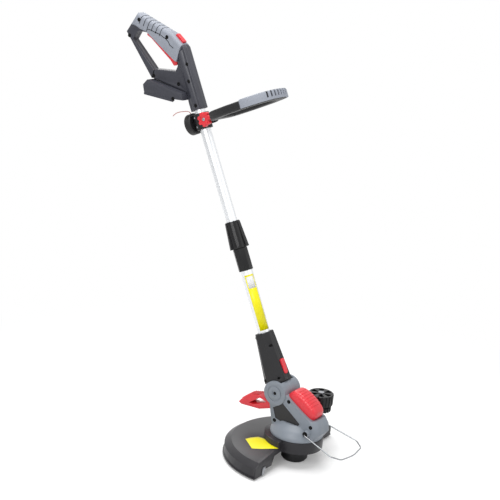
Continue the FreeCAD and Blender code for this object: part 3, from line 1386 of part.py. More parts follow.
def make_clamp():
    front = new_body("aux_clamp_front", "shaft", 0, 0, d.aux_t)
    rear = new_body("aux_clamp_rear", "shaft", 0, 0, d.aux_t)
    low, high = d.clamp_low - d.aux_t, d.clamp_high - d.aux_t
    for body, side in ((front, 1), (rear, -1)):
        extrude(body, "ring", "z", [disc(0, 0, d.clamp_r)], low, high)
        if side > 0:
            for name, way in SIDES:
                extrude(body, "lug_" + name, "y", [disc(d.aux_bolt_n, 0, d.lug_r)], *span(way, d.lug_in, d.lug_out))
                arm = rect(d.clamp_r / 2, -d.lug_r, d.aux_bolt_n, d.lug_r)
                extrude(body, "arm_" + name, "y", [arm], *span(way, d.lug_in, d.lug_out))
            cut_out(body, "bolt_bore", "y", [disc(d.aux_bolt_n, 0, d.aux_bolt_r + d.pin_gap)], -d.lug_out, d.lug_out)
            cut_out(body, "hub_room", "y", [disc(d.aux_bolt_n, 0, d.hub_r + d.run_gap)], -d.lug_in, d.lug_in)
        else:
            extrude(body, "boss", "x", [disc(0, 0, d.neck_boss_r)], d.drum_front, -d.upper_tube_r)
        keep = d.clamp_split * side
        away = rect(-d.clamp_r * 2, -d.clamp_r * 2, keep, d.clamp_r * 2) if side > 0 else rect(
            keep, -d.clamp_r * 2, d.clamp_r * 2, d.clamp_r * 2)
        cut_out(body, "other_half", "z", [away], low, high)
        cut_out(body, "tube_bore", "z", [disc(0, 0, tube_seat_r)], low, high)
        holes = [disc(y * d.clamp_screw_y, z * d.clamp_screw_t, d.screw_shank_r + d.seat_gap)
                 for y in (-1, 1) for z in (-1, 1)]
        cut_out(body, "screw_holes", "x", holes, -d.clamp_r, d.screw_reach)
    seats = [disc(y * d.clamp_screw_y, z * d.clamp_screw_t, d.screw_head_r + d.seat_gap)
             for y in (-1, 1) for z in (-1, 1)]
    cut_out(rear, "screw_seats", "x", seats, -d.clamp_r, -d.screw_reach)
    fixing = new_body("clamp_screws", "shaft", 0, 0, d.aux_t)
    for y in (-1, 1):
        for z in (-1, 1):
            tag = "%d%d" % (y + 1, z + 1)
            extrude(fixing, "head" + tag, "x", [disc(y * d.clamp_screw_y, z * d.clamp_screw_t, d.screw_head_r)],
                    -d.screw_reach - d.screw_head_h, -d.screw_reach)
            extrude(fixing, "shank" + tag, "x", [disc(y * d.clamp_screw_y, z * d.clamp_screw_t, d.screw_shank_r)],
                    -d.screw_reach, d.screw_reach - 1)


def make_loop():
    frame = new_body("aux_frame", "shaft", d.aux_bolt_n, 0, d.aux_t)
    half = d.loop_thick / 2
    extrude(frame, "loop", "z", [half_profile("loop_outer")], -half, half)
    cut_out(frame, "opening", "z", [half_profile("loop_inner")], -half, half)
    dress(frame, "round", "Fillet", d.loop_edge, lambda edge: (at("z", half, edge) or at("z", -half, edge))
          and edge.BoundBox.XMax > number(d.loop_outer_1x) + 1)
    wide = d.lug_in - d.run_gap
    extrude(frame, "root", "z", [rect(0, -wide, d.loop_outer_0x + 4, wide)], 2 - half, half - 2)
    extrude(frame, "hub", "y", [disc(0, 0, d.hub_r)], -wide, wide)
    cut_out(frame, "bolt_bore", "y", [disc(0, 0, d.aux_bolt_r + d.pin_gap)], -wide, wide)
    skin = new_body("aux_grip_skin", "shaft", d.aux_bolt_n, 0, d.aux_t)
    bodies.remove(skin)
    top = half + d.grip_skin
    walls = []
    for name, by in (("loop_outer", d.grip_skin), ("loop_inner", -d.grip_skin)):
        corners = profile(name)[1]
        ahead = [corner for corner in corners if number(corner[0]) > number(d.skin_start)]
        start = (d.skin_start, height_on(corners, d.skin_start))
        walls.append(outset([start] + ahead, by))
    extrude(skin, "band", "z", [mirrored(walls[0])], -d.skin_drop, top)
    cut_out(skin, "opening", "z", [mirrored(walls[1])], -d.skin_drop, top)
    slots = []
    for index in range(int(number(d.slot_count))):
        low = d.slot_start + d.slot_pitch * index
        outer = height_on(walls[0], low)
        for side in (-1, 1):
            ends = sorted((side * (outer - d.slot_reach), side * (outer + d.slot_width)), key=number)
            slots.append(rect(low, ends[0], low + d.slot_width, ends[1]))
    cut_out(skin, "slots", "z", slots, 0, top)
    grip = doc.addObject("Part::Cut", "aux_grip")
    grip.Label = "aux_grip"
    grip.Base = skin
    grip.Tool = frame
    bodies.append(grip)
    doc.recompute()


def make_aux_bolt():
    bolt = new_body("aux_bolt", "shaft", d.aux_bolt_n, 0, d.aux_t)
    extrude(bolt, "shank", "y", [disc(0, 0, d.aux_bolt_r)], -d.lug_out - d.knob_thick + 2, d.lug_out)
    extrude(bolt, "head", "y", [ngon(6, d.aux_bolt_r * 2)], d.lug_out, d.lug_out + d.knob_shank)
    knob = new_body("aux_knob", "shaft", d.aux_bolt_n, 0, d.aux_t)
    back = -d.lug_out - d.run_gap
    face = back - d.knob_thick
    extrude(knob, "core", "y", [disc(0, 0, d.knob_root_r)], face, back)
    lobe = extrude(knob, "lobe", "y", [disc(d.knob_r - d.knob_lobe_r, 0, d.knob_lobe_r)], face + 1, back - 1)
    repeat_round(knob, lobe, "y", d.knob_lobes)
    cut_out(knob, "bolt_bore", "y", [disc(0, 0, d.aux_bolt_r + d.pin_gap)], 2 - d.lug_out - d.knob_thick - d.run_gap, back)
    cut_out(knob, "dish", "y", [disc(0, 0, d.knob_root_r * 0.7)], face, face + 1)


def make_spare():
    cup = new_body("spool_holder", "shaft", d.drum_front, 0, d.aux_t)
    deep = d.drum_front - d.drum_rear
    wall = d.drum_wall
    revolve(cup, "drum", poly((0, 0), (0, d.drum_r - 2), (-2, d.drum_r), (-deep, d.drum_r),
                              (-deep, d.drum_r - wall), (-wall, d.drum_r - wall), (-wall, d.spare_core_r - 2),
                              (-deep + wall, d.spare_core_r - 2), (-deep + wall, 0)), "x")
    cut_out(cup, "tail_hole", "z", [disc(-deep / 2, 0, d.tail_r + d.seat_gap)], d.drum_r - wall * 2, d.drum_r + 1)
    spare = new_body("spare_spool", "shaft", d.drum_front, 0, d.aux_t)
    near, far = -wall - d.seat_gap, wall - deep
    bore = d.spare_core_r - 2 + d.seat_gap
    flange = d.spare_flange
    revolve(spare, "reel", poly((near, bore), (near, d.spare_r), (near - flange, d.spare_r),
                                (near - flange, d.spare_core_r), (far + flange, d.spare_core_r),
                                (far + flange, d.spare_r), (far, d.spare_r), (far, bore)), "x")
    wound = new_body("spare_line", "shaft", d.drum_front, 0, d.aux_t)
    gap = d.seat_gap
    revolve(wound, "winding", poly((near - flange - gap, d.spare_core_r + gap), (near - flange - gap, d.spare_r - 3),
                                   (far + flange + gap, d.spare_r - 3), (far + flange + gap, d.spare_core_r + gap)),
            "x")
    middle = number(d.drum_front + d.drum_rear) / 2
    leaves = number(d.aux_t + d.drum_r)
    route = [Vector(middle, 0, leaves - 1.8), Vector(middle, 0, leaves + 6), Vector(-48, 1, 686), Vector(-60, 0, 688),
             Vector(-71, -1, 687.5), Vector(-80, 0, 684)]
    bends = []
    for before, corner, after in zip(route, route[1:], route[2:]):
        half_turn = (corner - before).getAngle(after - corner) / 2
        shorter = min((corner - before).Length, (after - corner).Length)
        bends.append(0.45 * shorter / math.tan(half_turn))
    rod, length = pipe_run(route, bends, number(d.tail_r))
    print("spare line tail", round(length, 1), [round(bend, 1) for bend in bends])
    add_shape("spare_line_tail", rod, shaft_placement(0, 0, 0))


make_clamp()
make_loop()
make_aux_bolt()
make_spare()


# ---------------------------------------------------------------------------
# Check every object, then write one STEP file for each sub-part
# ---------------------------------------------------------------------------
doc.recompute()
for thing in doc.Objects:
    if "Invalid" in thing.State or "Error" in thing.State:
        raise RuntimeError("object failed: " + thing.Label)
for sub_part in bodies:
    shape = sub_part.Shape
    if shape.isNull() or not shape.isValid() or not shape.Solids:
        raise RuntimeError("bad shape: " + sub_part.Label)
for sub_part in bodies:
    sub_part.Shape.exportStep(os.path.join("parts", sub_part.Label + ".step"))
print(len(bodies), "sub-parts written")
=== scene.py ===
"""Finishes, labels and studio for the cordless grass trimmer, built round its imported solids."""

import math

import bmesh
import bpy
from mathutils import Matrix, Vector


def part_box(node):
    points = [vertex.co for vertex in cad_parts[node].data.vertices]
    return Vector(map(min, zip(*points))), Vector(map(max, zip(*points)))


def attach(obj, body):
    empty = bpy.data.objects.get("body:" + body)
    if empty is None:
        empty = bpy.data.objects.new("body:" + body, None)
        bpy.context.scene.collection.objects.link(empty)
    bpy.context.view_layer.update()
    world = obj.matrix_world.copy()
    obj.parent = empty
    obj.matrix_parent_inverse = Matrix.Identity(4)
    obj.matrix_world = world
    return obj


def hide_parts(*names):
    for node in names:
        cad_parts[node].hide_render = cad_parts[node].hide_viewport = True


bl_info = {
    "name": "Cordless grass trimmer",
    "version": (1, 0, 0),
    "blender": (4, 5, 0),
    "location": "3D View > Sidebar > Trimmer",
    "description": "Finishes, labels and studio for a cordless grass trimmer",
    "category": "Object",
}

MM = 0.001
# the tubes lean back, and their axis runs a little behind the pivot that the head tilts on
LEAN = math.radians(26)
PIVOT = Vector((-0.051, 0.0, 0.157))
SETBACK = 4 * MM
UP_TUBE = Vector((-math.sin(LEAN), 0, math.cos(LEAN)))
AHEAD = Vector((math.cos(LEAN), 0, math.sin(LEAN)))
LEFT = Vector((0, 1, 0))
# places and sizes of the solids that the pieces here lie on, in millimetres
BOLT_AHEAD, BOLT_UP = 24, 650
WIRE_BOSS = (46, 42, 89)
HOUSING_HALF = 31
PANEL = ((-53, 122), (-27, 140.5), (24, 104), (12, 83), (-44, 97))
LOWER_TUBE_R = 14
GUARD_BROW_R, GUARD_RIM_R, GUARD_BROW, GUARD_RIM = 78, 150, 50, 39
# screws that are driven from the right: ahead of the tubes' axis, up the tube, and out to the side
HANDLE_SCREWS = ((-91, 787, 13.5), (-28, 748, 13.5), (10.2, 783.5, 13.5), (-40, 718, 34), (-129, 897, 11),
                 (-84, 921, 17), (-20, 858, 17), (3, 687, 16.2), (3, 745, 16.2))
NECK_SCREWS = ((-16, 31, 24.7), (19, 31, 18.1), (18, 108, 13.1), (-16, 131, 11.6))
# the head's own, by x and z
HEAD_SCREWS = ((-12, 148), (52, 104), (-45, 92))

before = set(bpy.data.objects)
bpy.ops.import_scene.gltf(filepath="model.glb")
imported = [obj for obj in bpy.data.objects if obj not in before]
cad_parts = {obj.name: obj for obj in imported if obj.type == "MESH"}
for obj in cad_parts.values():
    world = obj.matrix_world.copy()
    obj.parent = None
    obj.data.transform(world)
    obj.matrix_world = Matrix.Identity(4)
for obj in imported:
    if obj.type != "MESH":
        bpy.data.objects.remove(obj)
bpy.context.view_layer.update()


def shaft_point(n, y, t):
    """The place n ahead of the tubes' axis, y to the left and t up along it, all in millimetres."""
    return PIVOT + AHEAD * (n * MM - SETBACK) + LEFT * (y * MM) + UP_TUBE * (t * MM)


# ---------------------------------------------------------------------------
# Colours and materials
# ---------------------------------------------------------------------------


def linear(code):
    """An sRGB hex colour as linear RGBA."""
    parts = [int(code[i : i + 2], 16) / 255 for i in (1, 3, 5)]
    return tuple(p / 12.92 if p <= 0.04045 else ((p + 0.055) / 1.055) ** 2.4 for p in parts) + (1.0,)


def add_node(tree, kind, settings=None, links=None):
    """Add one node, set its properties or sockets, and link other outputs into its inputs."""
    node = tree.nodes.new(kind)
    for name, value in (settings or {}).items():
        if isinstance(name, int) or name in node.inputs:
            node.inputs[name].default_value = value
        else:
            setattr(node, name, value)
    for name, output in (links or {}).items():
        tree.links.new(output, node.inputs[name])
    return node


CLOUD_MM = 40


def moulded(name, base, shade, rough, grain_mm, bump_mm, coat=0.0, gloss=0.5):
    """A moulded plastic or rubber: faint clouding in its colour, and a fine grain that breaks the gloss."""
    material = bpy.data.materials.new(name)
    material.use_nodes = True
    tree = material.node_tree
    tree.nodes.clear()
    place = add_node(tree, "ShaderNodeTexCoord").outputs["Object"]
    cloud = add_node(tree, "ShaderNodeTexNoise", {"Scale": 1 / (CLOUD_MM * MM), "Detail": 3.0},
                     {"Vector": place})
    grain = add_node(tree, "ShaderNodeTexNoise", {"Scale": 1 / (grain_mm * MM), "Detail": 2.0},
                     {"Vector": place})
    mixed = add_node(tree, "ShaderNodeMix", {"data_type": "RGBA", 6: linear(base), 7: linear(shade)},
                     {0: cloud.outputs["Fac"]})
    span = add_node(tree, "ShaderNodeMapRange", {"To Min": rough - 0.05, "To Max": rough + 0.07},
                    {"Value": grain.outputs["Fac"]})
    bump = add_node(tree, "ShaderNodeBump", {"Strength": 0.5, "Distance": bump_mm * MM},
                    {"Height": grain.outputs["Fac"]})
    settings = {"IOR": 1.5, "Specular IOR Level": gloss, "Coat Weight": coat, "Coat Roughness": 0.2}
    shader = add_node(tree, "ShaderNodeBsdfPrincipled", settings,
                      {"Base Color": mixed.outputs[2], "Roughness": span.outputs[0],
                       "Normal": bump.outputs[0]})
    add_node(tree, "ShaderNodeOutputMaterial", {}, {"Surface": shader.outputs[0]})
    return material


def brushed(name, base, shade, rough, lean, along_mm, across_mm):
    """A drawn or brushed metal: streaks that run along the part and vary its gloss."""
    material = bpy.data.materials.new(name)
    material.use_nodes = True
    tree = material.node_tree
    tree.nodes.clear()
    place = add_node(tree, "ShaderNodeTexCoord").outputs["Object"]
    turned = add_node(tree, "ShaderNodeMapping", {"Rotation": (0, lean, 0)}, {"Vector": place})
    size = (1 / (across_mm * MM), 1 / (across_mm * MM), 1 / (along_mm * MM))
    drawn = add_node(tree, "ShaderNodeMapping", {"Scale": size}, {"Vector": turned.outputs[0]})
    streak = add_node(tree, "ShaderNodeTexNoise", {"Scale": 1.0, "Detail": 4.0},
                      {"Vector": drawn.outputs[0]})
    mixed = add_node(tree, "ShaderNodeMix", {"data_type": "RGBA", 6: linear(base), 7: linear(shade)},
                     {0: streak.outputs["Fac"]})
    span = add_node(tree, "ShaderNodeMapRange", {"To Min": rough - 0.06, "To Max": rough + 0.08},
                    {"Value": streak.outputs["Fac"]})
    bump = add_node(tree, "ShaderNodeBump", {"Strength": 0.25, "Distance": 0.05 * MM},
                    {"Height": streak.outputs["Fac"]})
    shader = add_node(tree, "ShaderNodeBsdfPrincipled", {"Metallic": 1.0},
                      {"Base Color": mixed.outputs[2], "Roughness": span.outputs[0],
                       "Normal": bump.outputs[0]})
    add_node(tree, "ShaderNodeOutputMaterial", {}, {"Surface": shader.outputs[0]})
    return material


def make_materials(colours):
    """Every finish of the trimmer, by name."""
    return {
        # silver-anodised drawn tube: pale, satin, with faint draw lines along it
        "anodised_tube": brushed("anodised_aluminium_tube", colours.tube, "#E6E8EB", 0.34, -LEAN, 60, 0.8),
        # black ABS out of a spark-eroded mould: low gloss with a fine even grain
        "black_abs": moulded("black_abs_moulded", colours.black, "#1B1B1D", 0.42, 0.9, 0.05, gloss=0.35),
        "glossy_black": moulded("black_nylon_moulded", "#121214", "#0D0D0F", 0.3, 1.2, 0.03, gloss=0.35),
        "slate_abs": moulded("slate_abs_moulded", colours.slate, "#33343C", 0.38, 0.9, 0.04, gloss=0.5),
        "guard_abs": moulded("guard_abs_moulded", "#262529", "#201F23", 0.36, 1.4, 0.04, gloss=0.4),
        "housing_abs": moulded("housing_abs_moulded", colours.housing, "#7A818A", 0.4, 0.9, 0.05),
        "panel_abs": moulded("panel_abs_moulded", "#232325", "#1E1E20", 0.5, 0.9, 0.05),
        # soft-touch grey over-moulding of the grips: dull, slightly mottled
        "grip_rubber": moulded("soft_grey_grip", colours.grey, "#8C919B", 0.55, 0.7, 0.07),
        # red ABS, polished mould: clean and fairly glossy
        "red_abs": moulded("red_abs_polished", colours.red, "#D32632", 0.3, 1.6, 0.02, 0.15),
        # zinc-plated spring wire: bright, with faint draw lines
        "zinc_wire": brushed("zinc_plated_wire", "#A3A5A8", "#8C8F92", 0.3, 0, 8, 0.6),
        # zinc-plated pressed steel of screws, pins and the cutter
        "zinc_steel": brushed("zinc_plated_steel", "#B6B8BC", "#9C9FA3", 0.3, 0, 3, 0.7),
        # black-oxide screws: dark, with a little oil sheen
        "black_oxide": moulded("black_oxide_steel", "#0C0C0D", "#141415", 0.42, 0.5, 0.02),
        "brass": brushed("machined_brass", "#C9A255", "#B08B45", 0.3, 0, 2, 0.5),
        # extruded nylon line: smooth, a little waxy
        "nylon_line": moulded("extruded_nylon_line", "#C4563F", "#B34A36", 0.36, 3.0, 0.01),
        # printed vinyl sticker, bare of words
        "yellow_vinyl": moulded("yellow_vinyl_sticker", colours.yellow, "#ECE000", 0.34, 2.0, 0.01),
        "white_vinyl": moulded("white_vinyl_sticker", "#E9EAEA", "#DFE0E0", 0.34, 2.0, 0.01),
        # painted shade in screw wells, boss sockets and groove floors, and the dark of parting lines
        "shade_and_seam_black": moulded("shade_and_seam_black", "#040405", "#070708", 0.7, 2.0, 0.01, gloss=0.2),
    }


# the solids that have each finish
FINISHES = {
    "anodised_tube": "upper_tube lower_tube",
    "black_abs": "neck_shell_right neck_shell_left lock_collet aux_clamp_front aux_clamp_rear spool_holder "
    "aux_frame wheel_bracket spool_drive line_spool spare_spool switch",
    "glossy_black": "lock_collar lock_sleeve guide_wheel bump_cap",
    "slate_abs": "handle_shell_right handle_shell_left",
    "guard_abs": "guard",
    "housing_abs": "motor_housing_right motor_housing_left pivot_bolt",
    "panel_abs": "side_panel_right side_panel_left",
    "grip_rubber": "grip_cover_right grip_cover_left aux_grip",
    "red_abs": "motor_cover foot_pedal turn_button trigger lock_off_button aux_knob",
    "zinc_wire": "plant_guard turn_button_spring spool_spring pedal_spring trigger_spring",
    "black_oxide": "neck_screws head_screws handle_screws socket_screws",
    "zinc_steel": "guard_screws cutter_screws clamp_screws wheel_screw aux_bolt pedal_pin trigger_pin "
    "line_cutter motor_shaft motor",
    "brass": "battery_contacts line_eyelet",
    "nylon_line": "cutting_line wound_line spare_line spare_line_tail",
}
# edge rounding of the mouldings, in millimetres
ROUNDED = {
    "handle_shell_right": 2.6, "handle_shell_left": 2.6, "grip_cover_right": 1.0, "grip_cover_left": 1.0,
    "motor_housing_right": 1.8, "motor_housing_left": 1.8, "foot_pedal": 0.7,
    "neck_shell_right": 1.5, "neck_shell_left": 1.5, "lock_collar": 1.0, "lock_sleeve": 0.8,
    "guard": 0.8, "aux_frame": 1.5, "trigger": 1.0, "lock_off_button": 0.8, "aux_knob": 1.0,
    "guide_wheel": 0.4, "spool_holder": 0.8, "bump_cap": 0.8, "spool_drive": 0.8, "wheel_bracket": 0.8,
    "aux_clamp_front": 1.0, "aux_clamp_rear": 1.0,
}
# an edge sharper than this many degrees is rounded; the guard's slopes meet at flatter ones
SHARP, GUARD_SHARP = 32, 18
WELD = 0.005 * MM


# ---------------------------------------------------------------------------
# Mesh helpers
# ---------------------------------------------------------------------------


def finished(name, mesh_data, body, material):
    """A new piece from a bmesh, riding on a body and finished in one material."""
    mesh = bpy.data.meshes.new(name)
    bmesh.ops.recalc_face_normals(mesh_data, faces=mesh_data.faces)
    mesh_data.to_mesh(mesh)
    mesh_data.free()
    mesh.shade_smooth()
    piece = bpy.data.objects.new(name, mesh)
    bpy.context.scene.collection.objects.link(piece)
    mesh.materials.append(material)
    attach(piece, body)
    return piece


def ringed(rings, dark=None):
    """A closed bmesh skin over rings of points; dark(ring, point) picks faces for the second material."""
    shape = bmesh.new()
    rows = [[shape.verts.new(point) for point in ring] for ring in rings]
    count = len(rows[0])
    for row, (near, far) in enumerate(zip(rows, rows[1:])):
        for i in range(count):
            face = shape.faces.new((near[i], near[(i + 1) % count], far[(i + 1) % count], far[i]))
            if dark is not None and dark(row, i):
                face.material_index = 1
    shape.faces.new(rows[0])
    shape.faces.new(rows[-1])
    return shape


def flat_ring(name, centre, radii, depth, lift, steps, body, side=-1):
    """A thin black ring of painted shade on a face that looks sideways, let in by depth and standing out by
    lift.
    """
    inner, outer = radii
    shape = bmesh.new()
    rows = []
    for radius, out in ((inner, -depth), (inner, lift), (outer, lift), (outer, -depth)):
        turns = [math.tau * i / steps for i in range(steps)]
        spots = [Vector((radius * math.cos(a), side * out, radius * math.sin(a))) for a in turns]
        rows.append([shape.verts.new(centre + spot * MM) for spot in spots])
    for near, far in zip(rows, rows[1:] + rows[:1]):
        for i in range(steps):
            shape.faces.new((near[i], near[i - 1], far[i - 1], far[i]))
    return finished(name, shape, body, materials["shade_and_seam_black"])


def thin_line(name, lines, radius, body, finish="shade_and_seam_black"):
    """Thin round lines through the given places, such as a parting line, painted shade along a groove's
    floor, or a rim.
    """
    data = bpy.data.curves.new(name, "CURVE")
    data.dimensions = "3D"
    for line in lines:
        spline = data.splines.new("POLY")
        spline.points.add(len(line) - 1)
        for control, place in zip(spline.points, line):
            control.co = (*place, 1)
    data.bevel_depth = radius * MM
    data.bevel_resolution = 2
    data.use_fill_caps = True
    piece = bpy.data.objects.new(name, data)
    bpy.context.scene.collection.objects.link(piece)
    data.materials.append(materials[finish])
    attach(piece, body)
    return piece


def rounded_edges(piece, width, angle=SHARP):
    """Round the piece's edges that are sharper than the angle, in degrees."""
    bevel = piece.modifiers.new("rounded_edges", "BEVEL")
    bevel.width = width * MM
    bevel.segments = 3
    bevel.limit_method = "ANGLE"
    bevel.angle_limit = math.radians(angle)
    bevel.harden_normals = True


def softened(corners, rounds=2):
    """An open outline with its corners cut again and again, which turns them into curves."""
    points = [Vector(corner) for corner in corners]
    for _ in range(rounds):
        cut = [points[0]]
        for first, second in zip(points, points[1:]):
            cut += [first.lerp(second, 0.25), first.lerp(second, 0.75)]
        points = cut + [points[-1]]
    return points


def height_at(points, x):
    """The y of an open outline at a place along x."""
    for first, second in zip(points, points[1:]):
        if first.x <= x <= second.x:
            return first.y + (second.y - first.y) * (x - first.x) / max(second.x - first.x, 1e-9)
    return points[-1].y


def length_of(points):
    """The length of an open outline."""
    return sum((b - a).length for a, b in zip(points, points[1:]))


def point_along(points, distance):
    """The place a distance along an open outline."""
    for first, second in zip(points, points[1:]):
        step = (second - first).length
        if distance <= step:
            return first.lerp(second, distance / step)
        distance -= step
    return points[-1].copy()


def studio_light(name, place, target, size, power):
    """One soft box that faces the trimmer."""
    data = bpy.data.lights.new(name, "AREA")
    data.shape = "DISK"
    data.size = size
    data.energy = power
    light = bpy.data.objects.new(name, data)
    light.location = place
    light.rotation_euler = (Vector(target) - Vector(place)).to_track_quat("-Z", "Y").to_euler()
    bpy.context.scene.collection.objects.link(light)
    return light


# ---------------------------------------------------------------------------
# Settings
# ---------------------------------------------------------------------------


class TrimmerColours(bpy.types.PropertyGroup):
    """Colours of the trimmer's mouldings, as sRGB hex codes."""

    tube: bpy.props.StringProperty(name="Tube", description="Colour of the anodised tubes",
                                   default="#F2F4F6")
    black: bpy.props.StringProperty(name="Black parts", description="Colour of the black mouldings",
                                    default="#222224")
    slate: bpy.props.StringProperty(name="Rear handle", description="Colour of the rear handle's shells",
                                    default="#3D3E47")
    housing: bpy.props.StringProperty(name="Motor housing", description="Colour of the motor housing",
                                      default="#848B94")
    grey: bpy.props.StringProperty(name="Grips", description="Colour of the grips' soft covers",
                                   default="#989DA8")
    red: bpy.props.StringProperty(name="Red parts", description="Colour of the buttons, pedal and cover",
                                  default="#E8343F")
    yellow: bpy.props.StringProperty(name="Labels", description="Colour of the stickers", default="#F6EE00")


class TrimmerSizes(bpy.types.PropertyGroup):
    """Sizes of the labels and the studio."""

    label_low: bpy.props.FloatProperty(name="Tube label foot", description="Where the tube's label starts",
                                       default=146 * MM, unit="LENGTH")
    label_high: bpy.props.FloatProperty(name="Tube label top", description="Where the tube's label ends",
                                        default=279 * MM, unit="LENGTH")
    label_angle: bpy.props.FloatProperty(name="Tube label wrap", description="How far the label goes round",
                                         default=math.radians(96), subtype="ANGLE")
    lens: bpy.props.FloatProperty(name="Lens", description="Focal length of the camera", default=92.4,
                                  subtype="NONE")
    floor: bpy.props.FloatProperty(name="Floor", description="Half width of the studio floor", default=30.0,
                                   unit="LENGTH")


def colours():
    """The colour settings of this scene."""
    return bpy.context.scene.trimmer_colours


def sizes():
    """The size settings of this scene."""
    return bpy.context.scene.trimmer_sizes


# filled by the finishes' operator, and used by all that come after it
materials = {}


# ---------------------------------------------------------------------------
# Stage
# ---------------------------------------------------------------------------


CAMERA = Vector((1.3572, -2.3896, 1.3074))
CAMERA_RIGHT = Vector((0.823, 0.561, 0.092))
CAMERA_BACK = Vector((0.518, -0.807, 0.284))
LOOKED_AT = (-0.15, 0, 0.45)
# each soft box: its place, its width and its power in watts
LIGHTS = {
    "top_light": ((-0.3, -0.2, 3.2), 2.2, 58),
    "key_light": ((0.3, -2.9, 2.0), 1.6, 36),
    "fill_light": ((2.6, 0.4, 1.6), 2.0, 8),
    "rim_light": ((-2.2, 1.6, 2.2), 1.6, 18),
}
# the floor's own look ends here, and white takes over, in metres from the middle
FLOOR_NEAR, FLOOR_FAR = 0.35, 1.1
FLOOR_DROP = 0.2 * MM
WHITE = (1, 1, 1, 1)
PALE = (0.86, 0.86, 0.86, 1)


class TRIMMER_OT_stage(bpy.types.Operator):
    """Set up the camera, floor, world and soft boxes"""

    bl_idname = "trimmer.stage"
    bl_label = "Studio"

    def execute(self, context):
        scene = context.scene
        scene.view_settings.view_transform = "Standard"
        right = CAMERA_RIGHT.normalized()
        back = CAMERA_BACK.normalized()
        up = back.cross(right).normalized()
        right = up.cross(back)
        turn = Matrix((right, up, back)).transposed().to_4x4()
        data = bpy.data.cameras.new("camera")
        data.lens = sizes().lens
        camera = bpy.data.objects.new("camera", data)
        camera.matrix_world = Matrix.Translation(CAMERA) @ turn
        scene.collection.objects.link(camera)
        scene.camera = camera
        self.floor()
        self.world(scene)
        for name, (place, size, power) in LIGHTS.items():
            studio_light(name, place, LOOKED_AT, size, power)
        return {"FINISHED"}

    def floor(self):
        """A pale floor that takes the shadow, and turns to plain white further out."""
        shape = bmesh.new()
        bmesh.ops.create_grid(shape, x_segments=1, y_segments=1, size=sizes().floor)
        bmesh.ops.translate(shape, verts=shape.verts, vec=(0, 0, -FLOOR_DROP))
        mesh = bpy.data.meshes.new("floor")
        shape.to_mesh(mesh)
        shape.free()
        floor = bpy.data.objects.new("floor", mesh)
        bpy.context.scene.collection.objects.link(floor)
        material = bpy.data.materials.new("pale_studio_floor")
        material.use_nodes = True
        tree = material.node_tree
        tree.nodes.clear()
        path = add_node(tree, "ShaderNodeLightPath")
        place = add_node(tree, "ShaderNodeTexCoord")
        away = add_node(tree, "ShaderNodeVectorMath", {"operation": "LENGTH"}, {0: place.outputs["Object"]})
        settings = {"From Min": FLOOR_NEAR, "From Max": FLOOR_FAR, "interpolation_type": "SMOOTHSTEP"}
        fade = add_node(tree, "ShaderNodeMapRange", settings, {"Value": away.outputs["Value"]})
        diffuse = add_node(tree, "ShaderNodeBsdfDiffuse", {"Color": PALE})
        glow = add_node(tree, "ShaderNodeEmission", {"Color": WHITE, "Strength": 0.17})
        white = add_node(tree, "ShaderNodeEmission", {"Color": WHITE, "Strength": 1.0})
        lifted = add_node(tree, "ShaderNodeAddShader", {}, {0: diffuse.outputs[0], 1: glow.outputs[0]})
        faded = add_node(tree, "ShaderNodeMixShader", {}, {0: fade.outputs["Result"], 1: lifted.outputs[0],
                                                           2: white.outputs[0]})
        seen = add_node(tree, "ShaderNodeMixShader", {},
                        {0: path.outputs["Is Camera Ray"], 1: diffuse.outputs[0], 2: faded.outputs[0]})
        add_node(tree, "ShaderNodeOutputMaterial", {}, {"Surface": seen.outputs[0]})
        mesh.materials.append(material)

    def world(self, scene):
        """Soft white light from all round, on a white background."""
        world = bpy.data.worlds.new("studio")
        scene.world = world
        world.use_nodes = True
        tree = world.node_tree
        tree.nodes.clear()
        path = add_node(tree, "ShaderNodeLightPath")
        soft = add_node(tree, "ShaderNodeBackground", {"Color": WHITE, "Strength": 0.48})
        white = add_node(tree, "ShaderNodeBackground", {"Color": WHITE, "Strength": 1.0})
        sight = add_node(tree, "ShaderNodeMath", {"operation": "MAXIMUM"},
                         {0: path.outputs["Is Camera Ray"], 1: path.outputs["Is Glossy Ray"]})
        mixed = add_node(tree, "ShaderNodeMixShader", {}, {0: sight.outputs[0], 1: soft.outputs[0],
                                                           2: white.outputs[0]})
        add_node(tree, "ShaderNodeOutputWorld", {}, {"Surface": mixed.outputs[0]})


# ---------------------------------------------------------------------------
# Finishes of the solids
# ---------------------------------------------------------------------------


class TRIMMER_OT_finishes(bpy.types.Operator):
    """Make the materials, and give each solid its finish and rounded edges"""

    bl_idname = "trimmer.finishes"
    bl_label = "Finishes"

    def execute(self, context):
        materials.update(make_materials(colours()))
        for finish, names in FINISHES.items():
            for name in names.split():
                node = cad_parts[name]
                node.data.materials.clear()
                node.data.materials.append(materials[finish])
        for name, width in ROUNDED.items():
            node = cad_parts[name]
            weld = node.modifiers.new("weld", "WELD")
            weld.merge_threshold = WELD
            rounded_edges(node, width, GUARD_SHARP if name == "guard" else SHARP)
            node.data.shade_smooth()
        return {"FINISHED"}


# the line's route ahead of the tubes' axis, to the left and up the tube, as in the solids' source
SPARE_ROUTE = ((-28, 0, 673.2), (-28, 0, 681), (-48, 1, 686), (-60, 0, 688), (-71, -1, 687.5),
               (-80, 0, 684))
SPARE_LENGTH, LINE_ACROSS = 60.2 * MM, 1.6 * MM


